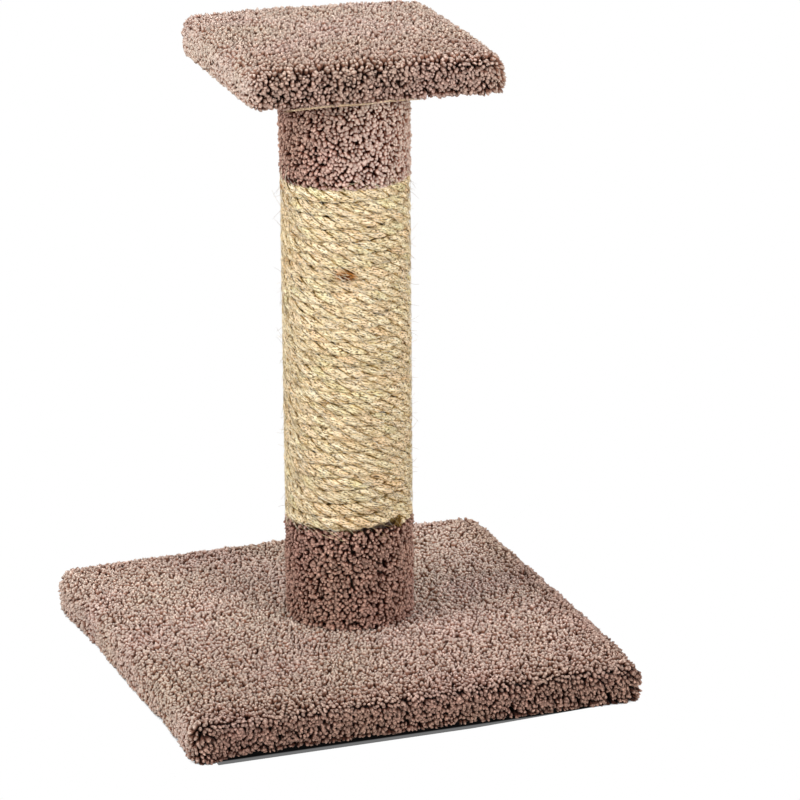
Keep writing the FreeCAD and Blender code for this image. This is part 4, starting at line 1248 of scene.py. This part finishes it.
def perch_pieces():
    """The perch's square of carpet and the pieces of its pile."""
    perch = CarpetSquare(
        "perch", PERCH_HALF, PERCH_LOW.z, PERCH_HIGH.z, PERCH_SIDE, PERCH_ABOVE + 4.8 * MM, PERCH_BELOW,
        PERCH_HEM, low_power=5.0, plan_power=(1.66, 1.66, 1.66, 1.66),
        # Painted shade: most on the front, none on the left side that faces the key lamp, and a little over
        # the top.
        fuller=(4.4 * MM, 4.5 * MM, -1.5 * MM, 0.0), swells=(), dirty=(0.3, 0.2, 0.0, 0.66), top_darker=0.12,
        middle=PERCH_MIDDLE, turn=PERCH_TURN, tilt=0.017, crown=3.6 * MM, seed=31)
    half = perch.half
    perch_pile = [perch.plant_top("top", -half, half, -half, half, 120)]
    out = PERCH_MIDDLE[1] - half - PERCH_SIDE
    gaps = ((-92, 508), (-98, 498), (-83, 488), (-71, 496), (-28, 501), (-4, 508))
    perch_pits = [(PERCH_MIDDLE[0] + x * MM, out, z * MM, 3.2 * MM, 6 * MM) for x, z in gaps]
    roughness = (1.0, 1.0, 0.45, 1.35)
    for quarter, label in enumerate(SIDES):
        perch_pile.append(perch.plant_side(label, quarter, 130 + quarter, rough=roughness[quarter],
                                           pits=perch_pits if label in ("front", "left") else ()))
    return perch, perch_pile


def carpets():
    """The two wrapped squares and the two collars."""
    # The roots' colours paint the shade down in the pile and the tips' colours paint the highlight on the
    # ends. The second set is the colour with full painted shade.
    pile = pile_material("carpet_pile",
                         unshaded=(srgb(255, 240, 229), srgb(179, 131, 110), srgb(90, 44, 28)),
                         dirty=(srgb(228, 188, 170), srgb(112, 70, 57), srgb(48, 20, 14)))
    collar_yarn = pile_material("collar_pile",
                                unshaded=(srgb(255, 238, 226), srgb(186, 128, 107), srgb(130, 54, 36)),
                                dirty=(srgb(232, 184, 166), srgb(118, 70, 56), srgb(86, 30, 20)))
    weave = backing_material()
    base, base_pile = base_pieces()
    perch, perch_pile = perch_pieces()
    hem_yarn(perch, fibre_material("hem_yarn", srgb(196, 166, 132), srgb(226, 200, 168), srgb(240, 220, 192)))

    # Painted shade: the lower collar is painted darker all round, and the upper collar most on its left side,
    # under the perch.
    lower_pile = collar_pile("bottom_collar", *LOWER_COLLAR, 140, dirt=(0.86, 0.0, 0.0),
                             notch=(math.radians(-55), LOWER_COLLAR[1], 3.6 * MM, 12 * MM))
    upper_pile = collar_pile("top_collar", *UPPER_COLLAR, 150, dirt=(0.15, 0.65, math.radians(190)))
    for piece in (*base_pile, *perch_pile):
        dress(piece, pile)
    for piece in (lower_pile, upper_pile):
        dress(piece, collar_yarn)

    for square, pieces, board in ((base, base_pile, "base_board"), (perch, perch_pile, "perch_board")):
        side, area = square.flat_size()
        square.backing(weave)
        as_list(pieces)
    for name, (low, high), piece in (("bottom_collar", LOWER_COLLAR, lower_pile),
                                     ("top_collar", UPPER_COLLAR, upper_pile)):
        collar_backing(name, low, high, weave)


def rope():
    """The wound rope: its strands and the fibres that stand out of it."""
    sisal = sisal_material()
    strands = [strand(index, sisal, 200 + index) for index in range(3)]
    for piece in strands:
        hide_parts("sisal_rope")
    hairs = fibre_material("sisal_fibre", srgb(104, 76, 34), srgb(206, 180, 132), srgb(240, 222, 184),
                           srgb(252, 242, 216), srgb(255, 250, 234))
    dark_hairs = fibre_material("sisal_hair", srgb(112, 88, 52), srgb(170, 142, 98), srgb(226, 204, 160))
    ends = fibre_material("sisal_cut_end", srgb(96, 66, 28), srgb(168, 126, 60), srgb(214, 176, 100))
    loose_fibres("sisal_fibres_lying", 7000, 210, (0.02 * MM, 0.4 * MM), (8 * MM, 24 * MM),
                 (0.10 * MM, 0.20 * MM), 5, hairs)
    loose_fibres("sisal_fibres_loose", 420, 211, (1.2 * MM, 7 * MM), (5 * MM, 16 * MM),
                 (0.09 * MM, 0.16 * MM), 8, dark_hairs)
    collar_hairs(hairs)
    frayed_end(ends)


def hidden_parts():
    """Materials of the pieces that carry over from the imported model."""
    board, tube, wood = particle_board(), card(), plug_wood()
    zinc = metal("zinc", srgb(196, 200, 202), 0.35)
    steel = metal("staple_steel", srgb(176, 178, 182), 0.3)
    finishes = {
        "base_board": board, "perch_board": board, "post_tube": tube,
        "bottom_plug": wood, "top_plug": wood,
        "base_screws": zinc, "perch_screws": zinc, "bottom_plug_nails": zinc, "top_plug_nails": zinc,
        "base_staples": steel, "perch_staples": steel, "bottom_collar_staples": steel,
        "top_collar_staples": steel, "rope_staples": steel,
    }
    for name, material in finishes.items():
        set_material(frame["nodes"][name], material)


def studio():
    """Floor, world and soft boxes."""
    floor()
    world(0.33)
    soft_lamp("key", (-1.6, -0.25, 1.25), (POST_X, POST_Y, 0.3), 0.9, 0.84)
    soft_lamp("top", (0.7, 0.7, 2.4), (POST_X, POST_Y, 0.2), 1.2, 0.40)
    soft_lamp("front", (0.7, -1.9, 0.95), (POST_X, POST_Y, 0.40), 0.6, 1.0, spread=50.0)
    bpy.context.scene.view_settings.view_transform = "Standard"


camera()
studio()
carpets()
rope()
hidden_parts()
